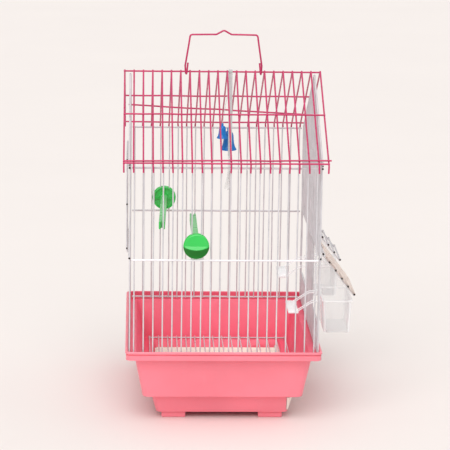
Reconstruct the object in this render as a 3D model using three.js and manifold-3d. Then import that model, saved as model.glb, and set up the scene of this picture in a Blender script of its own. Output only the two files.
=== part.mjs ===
// House-shaped wire bird cage on a moulded tub with a pull-out litter drawer.
// Millimetres, +Z up. -Y is the front wall, +X is the side with the two feeders.
// The walls, roof and doors are welded wire grilles. The wire is modelled square here.
import * as THREE from "three";
import { mergeVertices } from "three/addons/utils/BufferGeometryUtils.js";
import Module from "manifold-3d";

const wasm = await Module();
wasm.setup();

// ---------------------------------------------------------------- driving dimensions
const GAP = 0.4; // clearance between touching pieces
const PITCH = 11; // spacing of the upright wires
const WIRE = 1.8; // upright wire
const RAIL = 2.2; // cross rails of the walls
const ROOF_WIRE = 1.9;

const FRONT_WIRES = 20;
const DEPTH = 280; // front wall to rear wall
const HALF_DEPTH = DEPTH / 2;
const SIDE_X = 108.5; // plane of the gable walls
const SIDE_WIRES = 26;
const SIDE_PITCH = DEPTH / (SIDE_WIRES - 1);

const LOW_RAIL_Z = 83.6;
const MID_RAIL_Z = 195.5;
const TOP_RAIL_Z = 302;
const SIDE_MID_RAIL_Z = 197.8;
const GABLE_PEAK_Z = 388.5;
const GABLE_EAVE_Z = 304.8;

const ROOF_WIRES = 22;
const RIDGE_Z = 393;
const EAVE_Y = 145;
const EAVE_Z = 306;
const PRONG_Z = { front: 297.5, rear: 302 }; // lower ends of the bent wire tips outside the walls

const FLANGE = { hx: 113, hy: 148, corner: 6.5, bottom: 78.5, ledge: 80.6, top: 89 };
const LIP_WALL = 3;
const TUB_TOP = { hx: 102, hy: 137 };
const TUB_BOTTOM = { hx: 93, hy: 128 };
const TUB_BOTTOM_Z = 30.2;
const TUB_CORNER = 8;
const TUB_WALL = 2.6;
const TUB_FLOOR = 3.4; // ledge round the litter well, where the wire floor rests
const PLINTH_TOP = { hx: 83, hy: 118 };
const PLINTH_BOTTOM = { hx: 77, hy: 112 };
const PLINTH_BOTTOM_Z = 7.6;
const PLINTH_CORNER = 6;
const FLOOR_PLATE = 2.2;
const FOOT = { x: 56.5, y: 98, width: 28, depth: 20 };

const DRAWER_MOUTH_X = 75; // the plinth is open from here to its right end
const DRAWER_ROOF_Z = 27;
const DRAWER_TOP_Z = 24.6;
const DRAWER_WALL = 1.6;
const DRAWER_LOW = { back: -73.6, front: 76, hy: 108.8 }; // tray at its floor
const DRAWER_FLARE = 3.6; // how far its sides lean out up to its top

const FLOOR_WIRES = 16;
const FLOOR_PITCH = 11.45;
const FLOOR_SHIFT = 2.3; // the loose wire floor lies a little to the right
const FLOOR_RAIL_Y = 121.5;

const PERCH_Z = 212.2;
const PERCH_LENGTH = 160;
const FRONT_PERCH_X = -3 * PITCH;
const REAR_PERCH_X = -6 * PITCH;
const PERCH_ROD = { width: 7.4, height: 9 };
const PERCH_DISC = 14.2;
const PERCH_KNOB = 14.7;
const REAR_PERCH_SAG = { x: -4.6, z: -2 }; // how far the tip of the loosely held rod has dropped

const FEEDER_Y = 89; // middle of each feeder, fore and aft of the cage's centre
const FLAP_WIDTH = 82;
const FLAP_HINGE = { x: 112.8, z: 201 };
const FLAP_PITCH = 12;
const FLAP_WIRES = 6;
const FLAP_ANGLE = THREE.MathUtils.degToRad(37.8); // from hanging straight down
const FEEDER_SILL_Z = 118;
const FLAP_TIES = { offset: 39, lift: -1.1, past: 3 }; // the two wires down the slope, under the others
const STEP_ARM = { spread: 23, size: 3.2 };
const STEP_PAD = { x0: 75, x1: 87, z0: 127, z1: 130.4 };
const CUP = { x0: 113.6, x1: 149, width: 66, bottom: 105.5, top: 144.6, wall: 1.5 };

const DOOR_X = -112;
const DOOR_BOTTOM_Z = 192;
const DOOR_TOP_Z = 297;
const DOOR_LINTEL_Z = 290;

const TOY_X = 9.3;
const STRAP_WIDTH = 4.6;
const UPPER_BELL = { x: 0.5, y: -3, top: 331, height: 18, radius: 6.8 };
const LOWER_BELL = { x: 8.5, y: 9.4, top: 324, height: 27, radius: 9.8 };
const HANDLE_FOOT_X = 44.3;

// ---------------------------------------------------------------- materials
const finish = (color, roughness, metalness = 0, opacity = 1) =>
  new THREE.MeshStandardMaterial({ color, roughness, metalness, opacity, transparent: opacity < 1 });
const PINK = 0xf27086;
const WHITE_WIRE = 0xeceeee;
const ROSE_WIRE = 0xd84a72;
const GREEN = 0x58c868;
const BLUE = 0x1f86d6;
const CREAM = 0xefe6cc;
const CLEAR = 0xdfe6e8;

// ---------------------------------------------------------------- solid helpers
function solid(geometry) {
  const bare = geometry.index ? geometry.clone() : geometry;
  bare.deleteAttribute("normal");
  bare.deleteAttribute("uv");
  const merged = mergeVertices(bare, 1e-4);
  return new wasm.Manifold(new wasm.Mesh({
    numProp: 3,
    vertProperties: new Float32Array(merged.attributes.position.array),
    triVerts: new Uint32Array(merged.index.array),
  }));
}

function join(solids) {
  let round = solids;
  while (round.length > 1) {
    const next = [];
    for (let i = 0; i < round.length; i += 2) {
      next.push(i + 1 < round.length ? round[i].add(round[i + 1]) : round[i]);
    }
    round = next;
  }
  return round[0];
}

const group = new THREE.Group();

function place(name, shape, material) {
  const mesh = shape.getMesh();
  const geometry = new THREE.BufferGeometry();
  const positions = new Float32Array(mesh.vertProperties);
  geometry.setAttribute("position", new THREE.BufferAttribute(positions, 3));
  geometry.setIndex(new THREE.BufferAttribute(new Uint32Array(mesh.triVerts), 1));
  geometry.computeVertexNormals();
  const part = new THREE.Mesh(geometry, material);
  part.name = name;
  group.add(part);
  return part;
}

function box(x0, x1, y0, y1, z0, z1) {
  const geometry = new THREE.BoxGeometry(x1 - x0, y1 - y0, z1 - z0);
  geometry.translate((x0 + x1) / 2, (y0 + y1) / 2, (z0 + z1) / 2);
  return solid(geometry);
}

// straight square bar between two points
function bar(from, to, size) {
  const a = new THREE.Vector3(...from);
  const b = new THREE.Vector3(...to);
  const along = b.clone().sub(a);
  const geometry = new THREE.BoxGeometry(size, size, along.length());
  const turn = new THREE.Quaternion().setFromUnitVectors(new THREE.Vector3(0, 0, 1), along.normalize());
  geometry.applyQuaternion(turn);
  const middle = a.add(b).multiplyScalar(0.5);
  geometry.translate(middle.x, middle.y, middle.z);
  return solid(geometry);
}

function roundedRectangle(hx, hy, radius) {
  const shape = new THREE.Shape();
  shape.moveTo(hx - radius, -hy);
  shape.absarc(hx - radius, -hy + radius, radius, -Math.PI / 2, 0);
  shape.absarc(hx - radius, hy - radius, radius, 0, Math.PI / 2);
  shape.absarc(-hx + radius, hy - radius, radius, Math.PI / 2, Math.PI);
  shape.absarc(-hx + radius, -hy + radius, radius, Math.PI, Math.PI * 1.5);
  return shape;
}

// rounded block whose walls lean, from the half sizes at z0 to those at z1
function taperedBlock(low, high, z0, z1, radius, arcSteps = 4, centre = [0, 0]) {
  const shape = roundedRectangle(high.hx, high.hy, radius);
  const geometry = new THREE.ExtrudeGeometry(shape, {
    depth: z1 - z0, bevelEnabled: false, curveSegments: arcSteps,
  });
  geometry.translate(0, 0, z0);
  const position = geometry.attributes.position;
  for (let i = 0; i < position.count; i += 1) {
    const rise = (position.getZ(i) - z0) / (z1 - z0);
    position.setX(i, position.getX(i) * THREE.MathUtils.lerp(low.hx / high.hx, 1, rise));
    position.setY(i, position.getY(i) * THREE.MathUtils.lerp(low.hy / high.hy, 1, rise));
  }
  geometry.translate(...centre, 0);
  return solid(geometry);
}

// outline drawn in (x, z), made thick along y
function slabAcrossY(points, y0, y1) {
  const shape = new THREE.Shape(points.map(([x, z]) => new THREE.Vector2(x, z)));
  const geometry = new THREE.ExtrudeGeometry(shape, { depth: y1 - y0, bevelEnabled: false });
  geometry.rotateX(Math.PI / 2);
  geometry.translate(0, y1, 0);
  return solid(geometry);
}

function discAlongY(radius, y0, y1, x, z, sides = 24) {
  const geometry = new THREE.CylinderGeometry(radius, radius, y1 - y0, sides);
  geometry.translate(x, (y0 + y1) / 2, z);
  return solid(geometry);
}

const grown = ({ hx, hy }, by) => ({ hx: hx + by, hy: hy + by });

// ---------------------------------------------------------------- base tub
const wellFloorZ = PLINTH_BOTTOM_Z + FLOOR_PLATE;
const ledgeZ = TUB_BOTTOM_Z + TUB_FLOOR;
const plinthBlock = () =>
  taperedBlock(PLINTH_BOTTOM, PLINTH_TOP, PLINTH_BOTTOM_Z, TUB_BOTTOM_Z + 1, PLINTH_CORNER, 3);

function foot(x, y) {
  const { width, depth } = FOOT;
  return box(x - width / 2, x + width / 2, y - depth / 2, y + depth / 2, 0, PLINTH_BOTTOM_Z + 0.5);
}

function baseTub() {
  const outline = { hx: FLANGE.hx, hy: FLANGE.hy };
  const inside = grown(outline, -LIP_WALL);
  const rim = taperedBlock(outline, outline, FLANGE.bottom, FLANGE.top, FLANGE.corner)
    .subtract(taperedBlock(inside, inside, FLANGE.ledge, FLANGE.top + 1, FLANGE.corner - LIP_WALL));
  const tub = taperedBlock(TUB_BOTTOM, TUB_TOP, TUB_BOTTOM_Z, FLANGE.ledge - 0.5, TUB_CORNER);
  const tubHollow = taperedBlock(
    grown(TUB_BOTTOM, -TUB_WALL), grown(TUB_TOP, -TUB_WALL),
    ledgeZ, FLANGE.top + 2, TUB_CORNER - 2);
  const wellLow = grown(PLINTH_BOTTOM, -TUB_WALL);
  const wellHigh = grown(PLINTH_TOP, -TUB_WALL);
  const wellHollow = taperedBlock(wellLow, wellHigh, wellFloorZ, ledgeZ + 2, PLINTH_CORNER - 1.5, 3);
  // the drawer's way out keeps the well's section up to the plinth's right end
  const channel = taperedBlock(
    { hx: 10, hy: wellLow.hy }, { hx: 10, hy: wellHigh.hy }, wellFloorZ, ledgeZ + 2, 0.5, 1, [70, 0])
    .intersect(box(50, 95, -130, 130, wellFloorZ, DRAWER_ROOF_Z));
  const mouth = box(DRAWER_MOUTH_X, 95, -130, 130, wellFloorZ, DRAWER_ROOF_Z).add(channel);
  const feet = [];
  for (const x of [-FOOT.x, FOOT.x]) {
    feet.push(foot(x, -FOOT.y), foot(x, FOOT.y));
  }
  return join([rim, tub, plinthBlock(), ...feet]).subtract(tubHollow).subtract(wellHollow).subtract(mouth);
}
place("base_tub", baseTub(), finish(PINK, 0.35));

// ---------------------------------------------------------------- litter drawer
function litterDrawer() {
  const { back, front, hy } = DRAWER_LOW;
  const floorZ = wellFloorZ + GAP;
  const low = { hx: (front - back) / 2, hy };
  const high = grown(low, DRAWER_FLARE);
  const centre = [(front + back) / 2, 0];
  const tray = taperedBlock(low, high, floorZ, DRAWER_TOP_Z, PLINTH_CORNER - 1, 3, centre)
    .subtract(taperedBlock(grown(low, -DRAWER_WALL), grown(high, -DRAWER_WALL),
      floorZ + DRAWER_WALL, DRAWER_TOP_Z + 1, PLINTH_CORNER - 2, 3, centre));
  const face = plinthBlock()
    .intersect(box(DRAWER_MOUTH_X + GAP, 90, -130, 130, floorZ, DRAWER_ROOF_Z - GAP));
  const fingerLip = box(80, 85.5, -22, 22, 21.4, 23.2);
  return join([tray, face, fingerLip]);
}
place("litter_drawer", litterDrawer(), finish(CREAM, 0.45));

// ---------------------------------------------------------------- wire floor over the well
function floorGrid() {
  const half = (FLOOR_WIRES - 1) / 2 * FLOOR_PITCH;
  const railZ = ledgeZ + 1.2;
  const wireZ = railZ + 1.2;
  const wireEnd = FLOOR_RAIL_Y + 1.8;
  const bars = [];
  for (let i = 0; i < FLOOR_WIRES; i += 1) {
    const x = FLOOR_SHIFT - half + i * FLOOR_PITCH;
    bars.push(bar([x, -wireEnd, wireZ], [x, wireEnd, wireZ], WIRE));
  }
  for (const y of [-FLOOR_RAIL_Y, 0, FLOOR_RAIL_Y]) {
    bars.push(bar([FLOOR_SHIFT - half - 1.5, y, railZ], [FLOOR_SHIFT + half + 1.5, y, railZ], 2));
  }
  return join(bars);
}
place("floor_grid", floorGrid(), finish(WHITE_WIRE, 0.4));

// ---------------------------------------------------------------- front and rear walls
function straightWall(y) {
  const half = (FRONT_WIRES - 1) / 2 * PITCH;
  const bars = [];
  for (let i = 0; i < FRONT_WIRES; i += 1) {
    const x = -half + i * PITCH;
    bars.push(bar([x, y, LOW_RAIL_Z - 0.5], [x, y, TOP_RAIL_Z + 0.5], WIRE));
  }
  for (const z of [LOW_RAIL_Z, MID_RAIL_Z, TOP_RAIL_Z]) {
    bars.push(bar([-half - 1.8, y, z], [half + 1.8, y, z], RAIL));
  }
  return join(bars);
}
place("front_wall", straightWall(-HALF_DEPTH), finish(WHITE_WIRE, 0.4));
place("rear_wall", straightWall(HALF_DEPTH), finish(WHITE_WIRE, 0.4));

// ---------------------------------------------------------------- gable walls
// Each wall is one welded panel. It is split here into flat panels round its openings.
const gableTop = (y) => GABLE_PEAK_Z - (GABLE_PEAK_Z - GABLE_EAVE_Z) * Math.abs(y) / HALF_DEPTH;
const sideWireY = (j) => -HALF_DEPTH + j * SIDE_PITCH;
const LAST_WIRE = SIDE_WIRES - 1;
const RAIL_END = 1.6; // rails run this far past the corner wires
const PANEL_GAP = RAIL / 2 + GAP;

// Upright wires first..last with rails between two depths. A high of Infinity runs up to the gable.
function wallPanel(x, { first, last, low, high, rails, span }) {
  const [near, far] = span ?? [sideWireY(first), sideWireY(last)];
  const bars = [];
  for (let j = first; j <= last; j += 1) {
    const y = sideWireY(j);
    bars.push(bar([x, y, low], [x, y, Math.min(high, gableTop(y))], WIRE));
  }
  for (const [z, start = near, stop = far] of rails) {
    bars.push(bar([x, start, z], [x, stop, z], RAIL));
  }
  return bars;
}

const slopingRail = (x, from, to) => bar([x, from, gableTop(from)], [x, to, gableTop(to)], RAIL);
const fullSpan = [-HALF_DEPTH - RAIL_END, HALF_DEPTH + RAIL_END];
const frontFeeder = { first: 1, last: 8 }; // wires on either side of the feeder's opening
const rearFeeder = { first: LAST_WIRE - 8, last: LAST_WIRE - 1 };
const doorway = { first: 7, last: 18 };
const footZ = LOW_RAIL_Z - 0.5;
const postLow = FEEDER_SILL_Z + PANEL_GAP;
const postHigh = SIDE_MID_RAIL_Z - PANEL_GAP;
const eaveEnd = HALF_DEPTH + 1;

place("right_gable_wall", join([
  ...wallPanel(SIDE_X, {
    first: 0, last: LAST_WIRE, low: SIDE_MID_RAIL_Z, high: Infinity,
    rails: [[SIDE_MID_RAIL_Z], [TOP_RAIL_Z]], span: fullSpan,
  }),
  slopingRail(SIDE_X, 0, -eaveEnd),
  slopingRail(SIDE_X, 0, eaveEnd),
]), finish(WHITE_WIRE, 0.4));
place("right_sill_panel", join(wallPanel(SIDE_X, {
  first: 0, last: LAST_WIRE, low: footZ, high: FEEDER_SILL_Z,
  rails: [[LOW_RAIL_Z], [FEEDER_SILL_Z]], span: fullSpan,
})), finish(WHITE_WIRE, 0.4));
const postRails = [[postLow + RAIL / 2], [postHigh - RAIL / 2]];
for (const [name, first, last] of [
  ["right_front_post", 0, frontFeeder.first],
  ["right_centre_panel", frontFeeder.last, rearFeeder.first],
  ["right_rear_post", rearFeeder.last, LAST_WIRE],
]) {
  place(name, join(wallPanel(SIDE_X, { first, last, low: postLow, high: postHigh, rails: postRails })),
    finish(WHITE_WIRE, 0.4));
}

place("left_lower_panel", join(wallPanel(-SIDE_X, {
  first: 0, last: LAST_WIRE, low: footZ, high: SIDE_MID_RAIL_Z,
  rails: [[LOW_RAIL_Z], [SIDE_MID_RAIL_Z]], span: fullSpan,
})), finish(WHITE_WIRE, 0.4));
const jambLow = SIDE_MID_RAIL_Z + PANEL_GAP;
for (const [name, first, last, slopeEnds] of [
  ["left_front_panel", 0, doorway.first, [-eaveEnd, sideWireY(doorway.first)]],
  ["left_rear_panel", doorway.last, LAST_WIRE, [sideWireY(doorway.last), eaveEnd]],
]) {
  place(name, join([
    ...wallPanel(-SIDE_X, {
      first, last, low: jambLow, high: Infinity, rails: [[jambLow + RAIL / 2], [TOP_RAIL_Z]],
    }),
    slopingRail(-SIDE_X, ...slopeEnds),
  ]), finish(WHITE_WIRE, 0.4));
}
const lintelEnd = sideWireY(doorway.last) - WIRE / 2 - 2 * GAP;
place("left_gable_wall", join([
  ...wallPanel(-SIDE_X, {
    first: doorway.first + 1, last: doorway.last - 1, low: DOOR_LINTEL_Z, high: Infinity,
    rails: [[DOOR_LINTEL_Z], [TOP_RAIL_Z]], span: [-lintelEnd, lintelEnd],
  }),
  slopingRail(-SIDE_X, 0, -lintelEnd),
  slopingRail(-SIDE_X, 0, lintelEnd),
]), finish(WHITE_WIRE, 0.4));

// ---------------------------------------------------------------- sliding side door
function sideDoor() {
  const half = 5.5 * SIDE_PITCH;
  const bars = [];
  for (let i = 0; i < 12; i += 1) {
    const y = -half + i * SIDE_PITCH;
    bars.push(bar([DOOR_X, y, DOOR_BOTTOM_Z - 5], [DOOR_X, y, DOOR_TOP_Z + 0.5], WIRE));
  }
  for (const z of [DOOR_BOTTOM_Z, (DOOR_BOTTOM_Z + DOOR_TOP_Z) / 2, DOOR_TOP_Z]) {
    bars.push(bar([DOOR_X, -half - 2, z], [DOOR_X, half + 2, z], 2));
  }
  return join(bars);
}
place("side_door", sideDoor(), finish(WHITE_WIRE, 0.4));

// ---------------------------------------------------------------- roof
const ROOF_FALL = Math.atan2(RIDGE_Z - EAVE_Z, EAVE_Y);
const roofZ = (y) => RIDGE_Z - Math.abs(y) * Math.tan(ROOF_FALL);
// a point lifted off the slope, so that a cross wire lies on top of the long wires
function onSlope(x, y, lift = 1.4) {
  const side = Math.sign(y);
  return [x, y + side * lift * Math.sin(ROOF_FALL), roofZ(y) + lift * Math.cos(ROOF_FALL)];
}

function roofSlope(side, startY, crossWires) {
  const half = (ROOF_WIRES - 1) / 2 * PITCH;
  const prongZ = side < 0 ? PRONG_Z.front : PRONG_Z.rear;
  const bars = [];
  for (let i = 0; i < ROOF_WIRES; i += 1) {
    const x = -half + i * PITCH;
    const eave = EAVE_Y + 0.6;
    bars.push(bar([x, side * startY, roofZ(startY)], [x, side * eave, roofZ(eave)], ROOF_WIRE));
    bars.push(bar([x, side * EAVE_Y, EAVE_Z + 0.2], [x, side * (eave + 0.2), prongZ], ROOF_WIRE - 0.2));
  }
  for (const [from, to] of crossWires) {
    bars.push(bar(from, to, ROOF_WIRE));
  }
  return bars;
}
const ridge = bar([-117, 0, RIDGE_Z], [116, 0, RIDGE_Z], RAIL);
const frontCross = [
  [onSlope(-116.5, -70), onSlope(116.5, -70)],
  [onSlope(-116.5, -140.6), onSlope(118.7, -138.4)],
  [onSlope(-116.5, -143.5), onSlope(116.5, -143.5)],
];
const rearCross = [
  [onSlope(-116.5, 70), onSlope(116.5, 70)],
  [onSlope(-111, 95), onSlope(113, 120)],
  [onSlope(-116.5, 143.5), onSlope(116.5, 143.5)],
];
place("roof_front_slope", join([ridge, ...roofSlope(-1, 0, frontCross)]), finish(ROSE_WIRE, 0.35));
place("roof_rear_slope", join(roofSlope(1, RAIL / 2 + GAP + 0.5, rearCross)), finish(ROSE_WIRE, 0.35));

// ---------------------------------------------------------------- carrying handle
function carryingHandle() {
  const hook = 3.1; // radius of the bend round the ridge wire
  const foot = HANDLE_FOOT_X;
  const left = [
    [-foot + 3, -hook, RIDGE_Z + 10], [-foot + 2, -hook, RIDGE_Z + 2],
    [-foot + 1.4, -hook * 0.71, RIDGE_Z - hook * 0.71], [-foot + 0.9, 0, RIDGE_Z - hook],
    [-foot + 0.4, hook * 0.71, RIDGE_Z - hook * 0.71], [-foot, hook, RIDGE_Z],
    [-foot + 0.8, hook - 0.6, RIDGE_Z + 9], [-foot + 4, 0.3, RIDGE_Z + 33],
    [-foot + 5.4, 0, RIDGE_Z + 39.5], [-foot + 10, 0, RIDGE_Z + 43],
    [-foot + 22, 0, RIDGE_Z + 43.2], [-8, 0, RIDGE_Z + 43.2],
  ];
  const right = left.slice().reverse().map(([x, y, z]) => [-x + 2, y, z]);
  const points = [...left, [1.5, 0, RIDGE_Z + 48.4], ...right];
  const path = new THREE.CatmullRomCurve3(points.map((p) => new THREE.Vector3(...p)), false, "centripetal");
  const section = new THREE.Shape();
  section.absarc(0, 0, 1.05, 0, Math.PI * 2);
  return solid(new THREE.ExtrudeGeometry(section, { steps: 84, curveSegments: 3, extrudePath: path }));
}
place("carrying_handle", carryingHandle(), finish(ROSE_WIRE, 0.35));

// ---------------------------------------------------------------- hanging toy
// band looped over the ridge wire, drawn in (y, z) about the ridge and made thick along x
function toyStrap() {
  const eye = 3.4;
  const hole = 2.2;
  const shape = new THREE.Shape();
  shape.absarc(0, 0, eye, THREE.MathUtils.degToRad(-50), THREE.MathUtils.degToRad(230));
  const tail = [[-2.6, -7], [-12.8, -48], [-12.8, -141], [-11.6, -141], [-11.6, -47.8], [-1.2, -7]];
  for (const [y, z] of tail) {
    shape.lineTo(y, z);
  }
  const opening = new THREE.Path();
  opening.absarc(0, 0, hole, 0, Math.PI * 2);
  shape.holes.push(opening);
  const geometry = new THREE.ExtrudeGeometry(shape, {
    depth: STRAP_WIDTH, bevelEnabled: false, curveSegments: 8,
  });
  geometry.applyMatrix4(new THREE.Matrix4().makeBasis(
    new THREE.Vector3(0, 1, 0), new THREE.Vector3(0, 0, 1), new THREE.Vector3(1, 0, 0)));
  geometry.translate(TOY_X - STRAP_WIDTH / 2, 0, RIDGE_Z);
  return solid(geometry);
}

// hollow bell hanging mouth down, with a small knob on its crown
function bell({ x, y, top, height, radius }) {
  const wall = 1.3;
  const outside = [
    [0, 0], [radius * 0.2, -0.4], [radius * 0.2, -height * 0.14], [radius * 0.48, -height * 0.24],
    [radius * 0.62, -height * 0.5], [radius * 0.72, -height * 0.8], [radius, -height],
  ];
  const inside = [
    [radius - wall, -height], [radius * 0.72 - wall, -height * 0.78], [radius * 0.62 - wall, -height * 0.5],
    [0, -height * 0.36],
  ];
  const profile = [...outside, ...inside].reverse().map(([r, z]) => new THREE.Vector2(r, z));
  const geometry = new THREE.LatheGeometry(profile, 12);
  geometry.rotateX(Math.PI / 2);
  geometry.translate(x, y, top);
  return solid(geometry);
}

function toyCords() {
  const knot = [TOY_X, 1.2, RIDGE_Z - 6.2];
  return join([UPPER_BELL, LOWER_BELL].map(
    ({ x, y, top }) => bar(knot, [x, y, top + GAP], 1.1)));
}
place("toy_strap", toyStrap(), finish(CLEAR, 0.15, 0, 0.6));
place("toy_cords", toyCords(), finish(CLEAR, 0.3, 0, 0.8));
place("toy_bell_upper", bell(UPPER_BELL), finish(BLUE, 0.25));
place("toy_bell_lower", bell(LOWER_BELL), finish(BLUE, 0.25));

// ---------------------------------------------------------------- perches
// two depths measured toward the wall on one side of the cage, lower one first
const ordered = (side, a, b) => [Math.min(side * a, side * b), Math.max(side * a, side * b)];

// perch pushed in from one end wall: side is -1 for the front wall and 1 for the rear wall
function perchRod(x, side) {
  const { width, height } = PERCH_ROD;
  const wallFace = HALF_DEPTH - WIRE / 2 - GAP;
  const flange = [wallFace - 3.2, wallFace];
  const tip = wallFace - PERCH_LENGTH;
  const [rodA, rodB] = ordered(side, tip, HALF_DEPTH + 1.2);
  const [discA, discB] = ordered(side, ...flange);
  let perch = join([
    box(x - width / 2, x + width / 2, rodA, rodB, PERCH_Z - height / 2, PERCH_Z + height / 2),
    discAlongY(PERCH_DISC, discA, discB, x, PERCH_Z),
  ]);
  const [grooveA, grooveB] = ordered(side, tip + 14, flange[0] - 8);
  for (const flank of [-1, 1]) {
    const inner = x + flank * (width / 2 - 1.2);
    const outer = x + flank * (width / 2 + 1);
    perch = perch.subtract(box(Math.min(inner, outer), Math.max(inner, outer), grooveA, grooveB,
      PERCH_Z - 2.6, PERCH_Z + 2.2));
  }
  const [forkA, forkB] = ordered(side, tip - 1, tip + 9);
  return perch.subtract(box(x - 1.3, x + 1.3, forkA, forkB, PERCH_Z - height, PERCH_Z + height));
}

// knob outside the wall that locks the perch, with a finger bar across it
function perchKnob(x, side) {
  const inner = HALF_DEPTH + 1.2 + GAP;
  const face = inner + 3.6;
  const [discA, discB] = ordered(side, inner, face);
  const [barA, barB] = ordered(side, face - 0.5, face + 3.2);
  return join([
    discAlongY(PERCH_KNOB, discA, discB, x, PERCH_Z),
    box(x - 11.5, x + 11.5, barA, barB, PERCH_Z - 2, PERCH_Z + 2),
  ]);
}

// shear that moves a perch's tip by sag and leaves it at the wall where it is
function sagging(side, sag) {
  const wallY = side * HALF_DEPTH;
  const [slopeX, slopeZ] = [sag.x, sag.z].map((shift) => -side * shift / PERCH_LENGTH);
  return new THREE.Matrix4().set(
    1, slopeX, 0, -slopeX * wallY,
    0, 1, 0, 0,
    0, slopeZ, 1, -slopeZ * wallY,
    0, 0, 0, 1,
  );
}

const PERCHES = [
  ["front_perch", FRONT_PERCH_X, -1, { x: 0, z: 0 }],
  ["rear_perch", REAR_PERCH_X, 1, REAR_PERCH_SAG],
];
for (const [name, x, side, sag] of PERCHES) {
  const rod = place(`${name}_rod`, perchRod(x, side), finish(GREEN, 0.35));
  rod.geometry.applyMatrix4(sagging(side, sag));
  place(`${name}_knob`, perchKnob(x, side), finish(GREEN, 0.3));
}

// ---------------------------------------------------------------- feeders on the right wall
const flapAlong = [Math.sin(FLAP_ANGLE), -Math.cos(FLAP_ANGLE)];
const flapLift = [Math.cos(FLAP_ANGLE), Math.sin(FLAP_ANGLE)];
// point of the flap's plane: s down the slope from the hinge, lift away from the cage
const flapPoint = (s, lift = 0) => [
  FLAP_HINGE.x + s * flapAlong[0] + lift * flapLift[0],
  FLAP_HINGE.z + s * flapAlong[1] + lift * flapLift[1],
];

function flapGrille(middleY) {
  const bars = [];
  const last = (FLAP_WIRES - 1) * FLAP_PITCH;
  for (let i = 0; i < FLAP_WIRES; i += 1) {
    const [x, z] = flapPoint(i * FLAP_PITCH);
    bars.push(bar([x, middleY - FLAP_WIDTH / 2, z], [x, middleY + FLAP_WIDTH / 2, z], WIRE));
  }
  const [x0, z0] = flapPoint(0, FLAP_TIES.lift);
  const [x1, z1] = flapPoint(last + FLAP_TIES.past, FLAP_TIES.lift);
  for (const y of [middleY - FLAP_TIES.offset, middleY + FLAP_TIES.offset]) {
    bars.push(bar([x0, y, z0], [x1, y, z1], WIRE));
  }
  return join(bars);
}

// clear cover under the flap: a sloping sheet with a cheek at each end down to the cup's rim
function flapCover(middleY) {
  const halfWidth = CUP.width / 2 + 2.5;
  const sheet = 1.5;
  const under = -(WIRE / 2 + GAP);
  const upper = flapPoint(8, under);
  const lower = flapPoint(57, under);
  const restZ = CUP.top + GAP + 0.3;
  const backX = upper[0] - 0.6;
  const outline = [upper, [backX, upper[1] - 2], [backX, restZ], [lower[0] - 3, restZ], lower];
  const inner = flapPoint(9, under - sheet);
  const innerLow = flapPoint(58, under - sheet);
  const openX = upper[0] - 5;
  const openZ = restZ - 3;
  const hollow = [inner, [openX, inner[1]], [openX, openZ], [innerLow[0] + 2, openZ], innerLow];
  return slabAcrossY(outline, middleY - halfWidth, middleY + halfWidth)
    .subtract(slabAcrossY(hollow, middleY - halfWidth + sheet, middleY + halfWidth - sheet));
}

function feederCup(middleY) {
  const halfX = (CUP.x1 - CUP.x0) / 2;
  const midX = (CUP.x1 + CUP.x0) / 2;
  const high = { hx: halfX, hy: CUP.width / 2 };
  const low = grown(high, -2.2);
  const outside = taperedBlock(low, high, CUP.bottom, CUP.top, 5, 3, [midX, middleY]);
  const inside = taperedBlock(grown(low, -CUP.wall), grown(high, -CUP.wall),
    CUP.bottom + CUP.wall, CUP.top + 0.5, 3.6, 3, [midX, middleY]);
  return outside.subtract(inside);
}

// clear landing step that hooks on the cup's rim and reaches through the wall into the cage
function feederStep(middleY) {
  const { spread, size } = STEP_ARM;
  const parts = [];
  const rimZ = CUP.top - 3.5;
  for (const flank of [-1, 1]) {
    const y = middleY + flank * spread;
    parts.push(bar([CUP.x0 - 1.6, y, rimZ], [102, y, rimZ], size));
    parts.push(bar([102.6, y, rimZ + 0.4], [84, y, 128.8], size));
  }
  parts.push(box(STEP_PAD.x0, STEP_PAD.x1, middleY - spread - 3, middleY + spread + 3,
    STEP_PAD.z0, STEP_PAD.z1));
  return join(parts);
}

for (const [name, middleY] of [["front", -FEEDER_Y], ["rear", FEEDER_Y]]) {
  place(`${name}_flap_grille`, flapGrille(middleY), finish(WHITE_WIRE, 0.4));
  place(`${name}_flap_cover`, flapCover(middleY), finish(CLEAR, 0.12, 0, 0.45));
  place(`${name}_feeder_cup`, feederCup(middleY), finish(CLEAR, 0.1, 0, 0.45));
  place(`${name}_feeder_step`, feederStep(middleY), finish(CLEAR, 0.12, 0, 0.45));
}

// the feeders stick out on one side only: the origin is under the middle of the whole object
const extent = new THREE.Box3().setFromObject(group);
group.position.x = -(extent.min.x + extent.max.x) / 2;
export default group;
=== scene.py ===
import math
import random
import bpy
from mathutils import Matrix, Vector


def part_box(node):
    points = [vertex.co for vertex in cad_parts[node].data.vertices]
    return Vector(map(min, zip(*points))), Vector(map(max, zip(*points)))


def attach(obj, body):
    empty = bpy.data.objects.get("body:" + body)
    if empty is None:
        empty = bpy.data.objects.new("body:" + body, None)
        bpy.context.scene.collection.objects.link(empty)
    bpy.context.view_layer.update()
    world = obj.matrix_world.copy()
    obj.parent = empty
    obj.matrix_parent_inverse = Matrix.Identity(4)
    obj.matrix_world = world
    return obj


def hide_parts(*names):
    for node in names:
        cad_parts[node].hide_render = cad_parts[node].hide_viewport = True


bl_info = {
    "name": "Wire bird cage",
    "version": (1, 0, 0),
    "blender": (4, 5, 0),
    "location": "View3D > Sidebar > Bird cage",
    "description": "House-shaped wire bird cage with a moulded tub, drawer, perches, feeders and a bell toy",
    "category": "Add Mesh",
}

import bmesh
import bpy
from mathutils import Matrix, Vector

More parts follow.
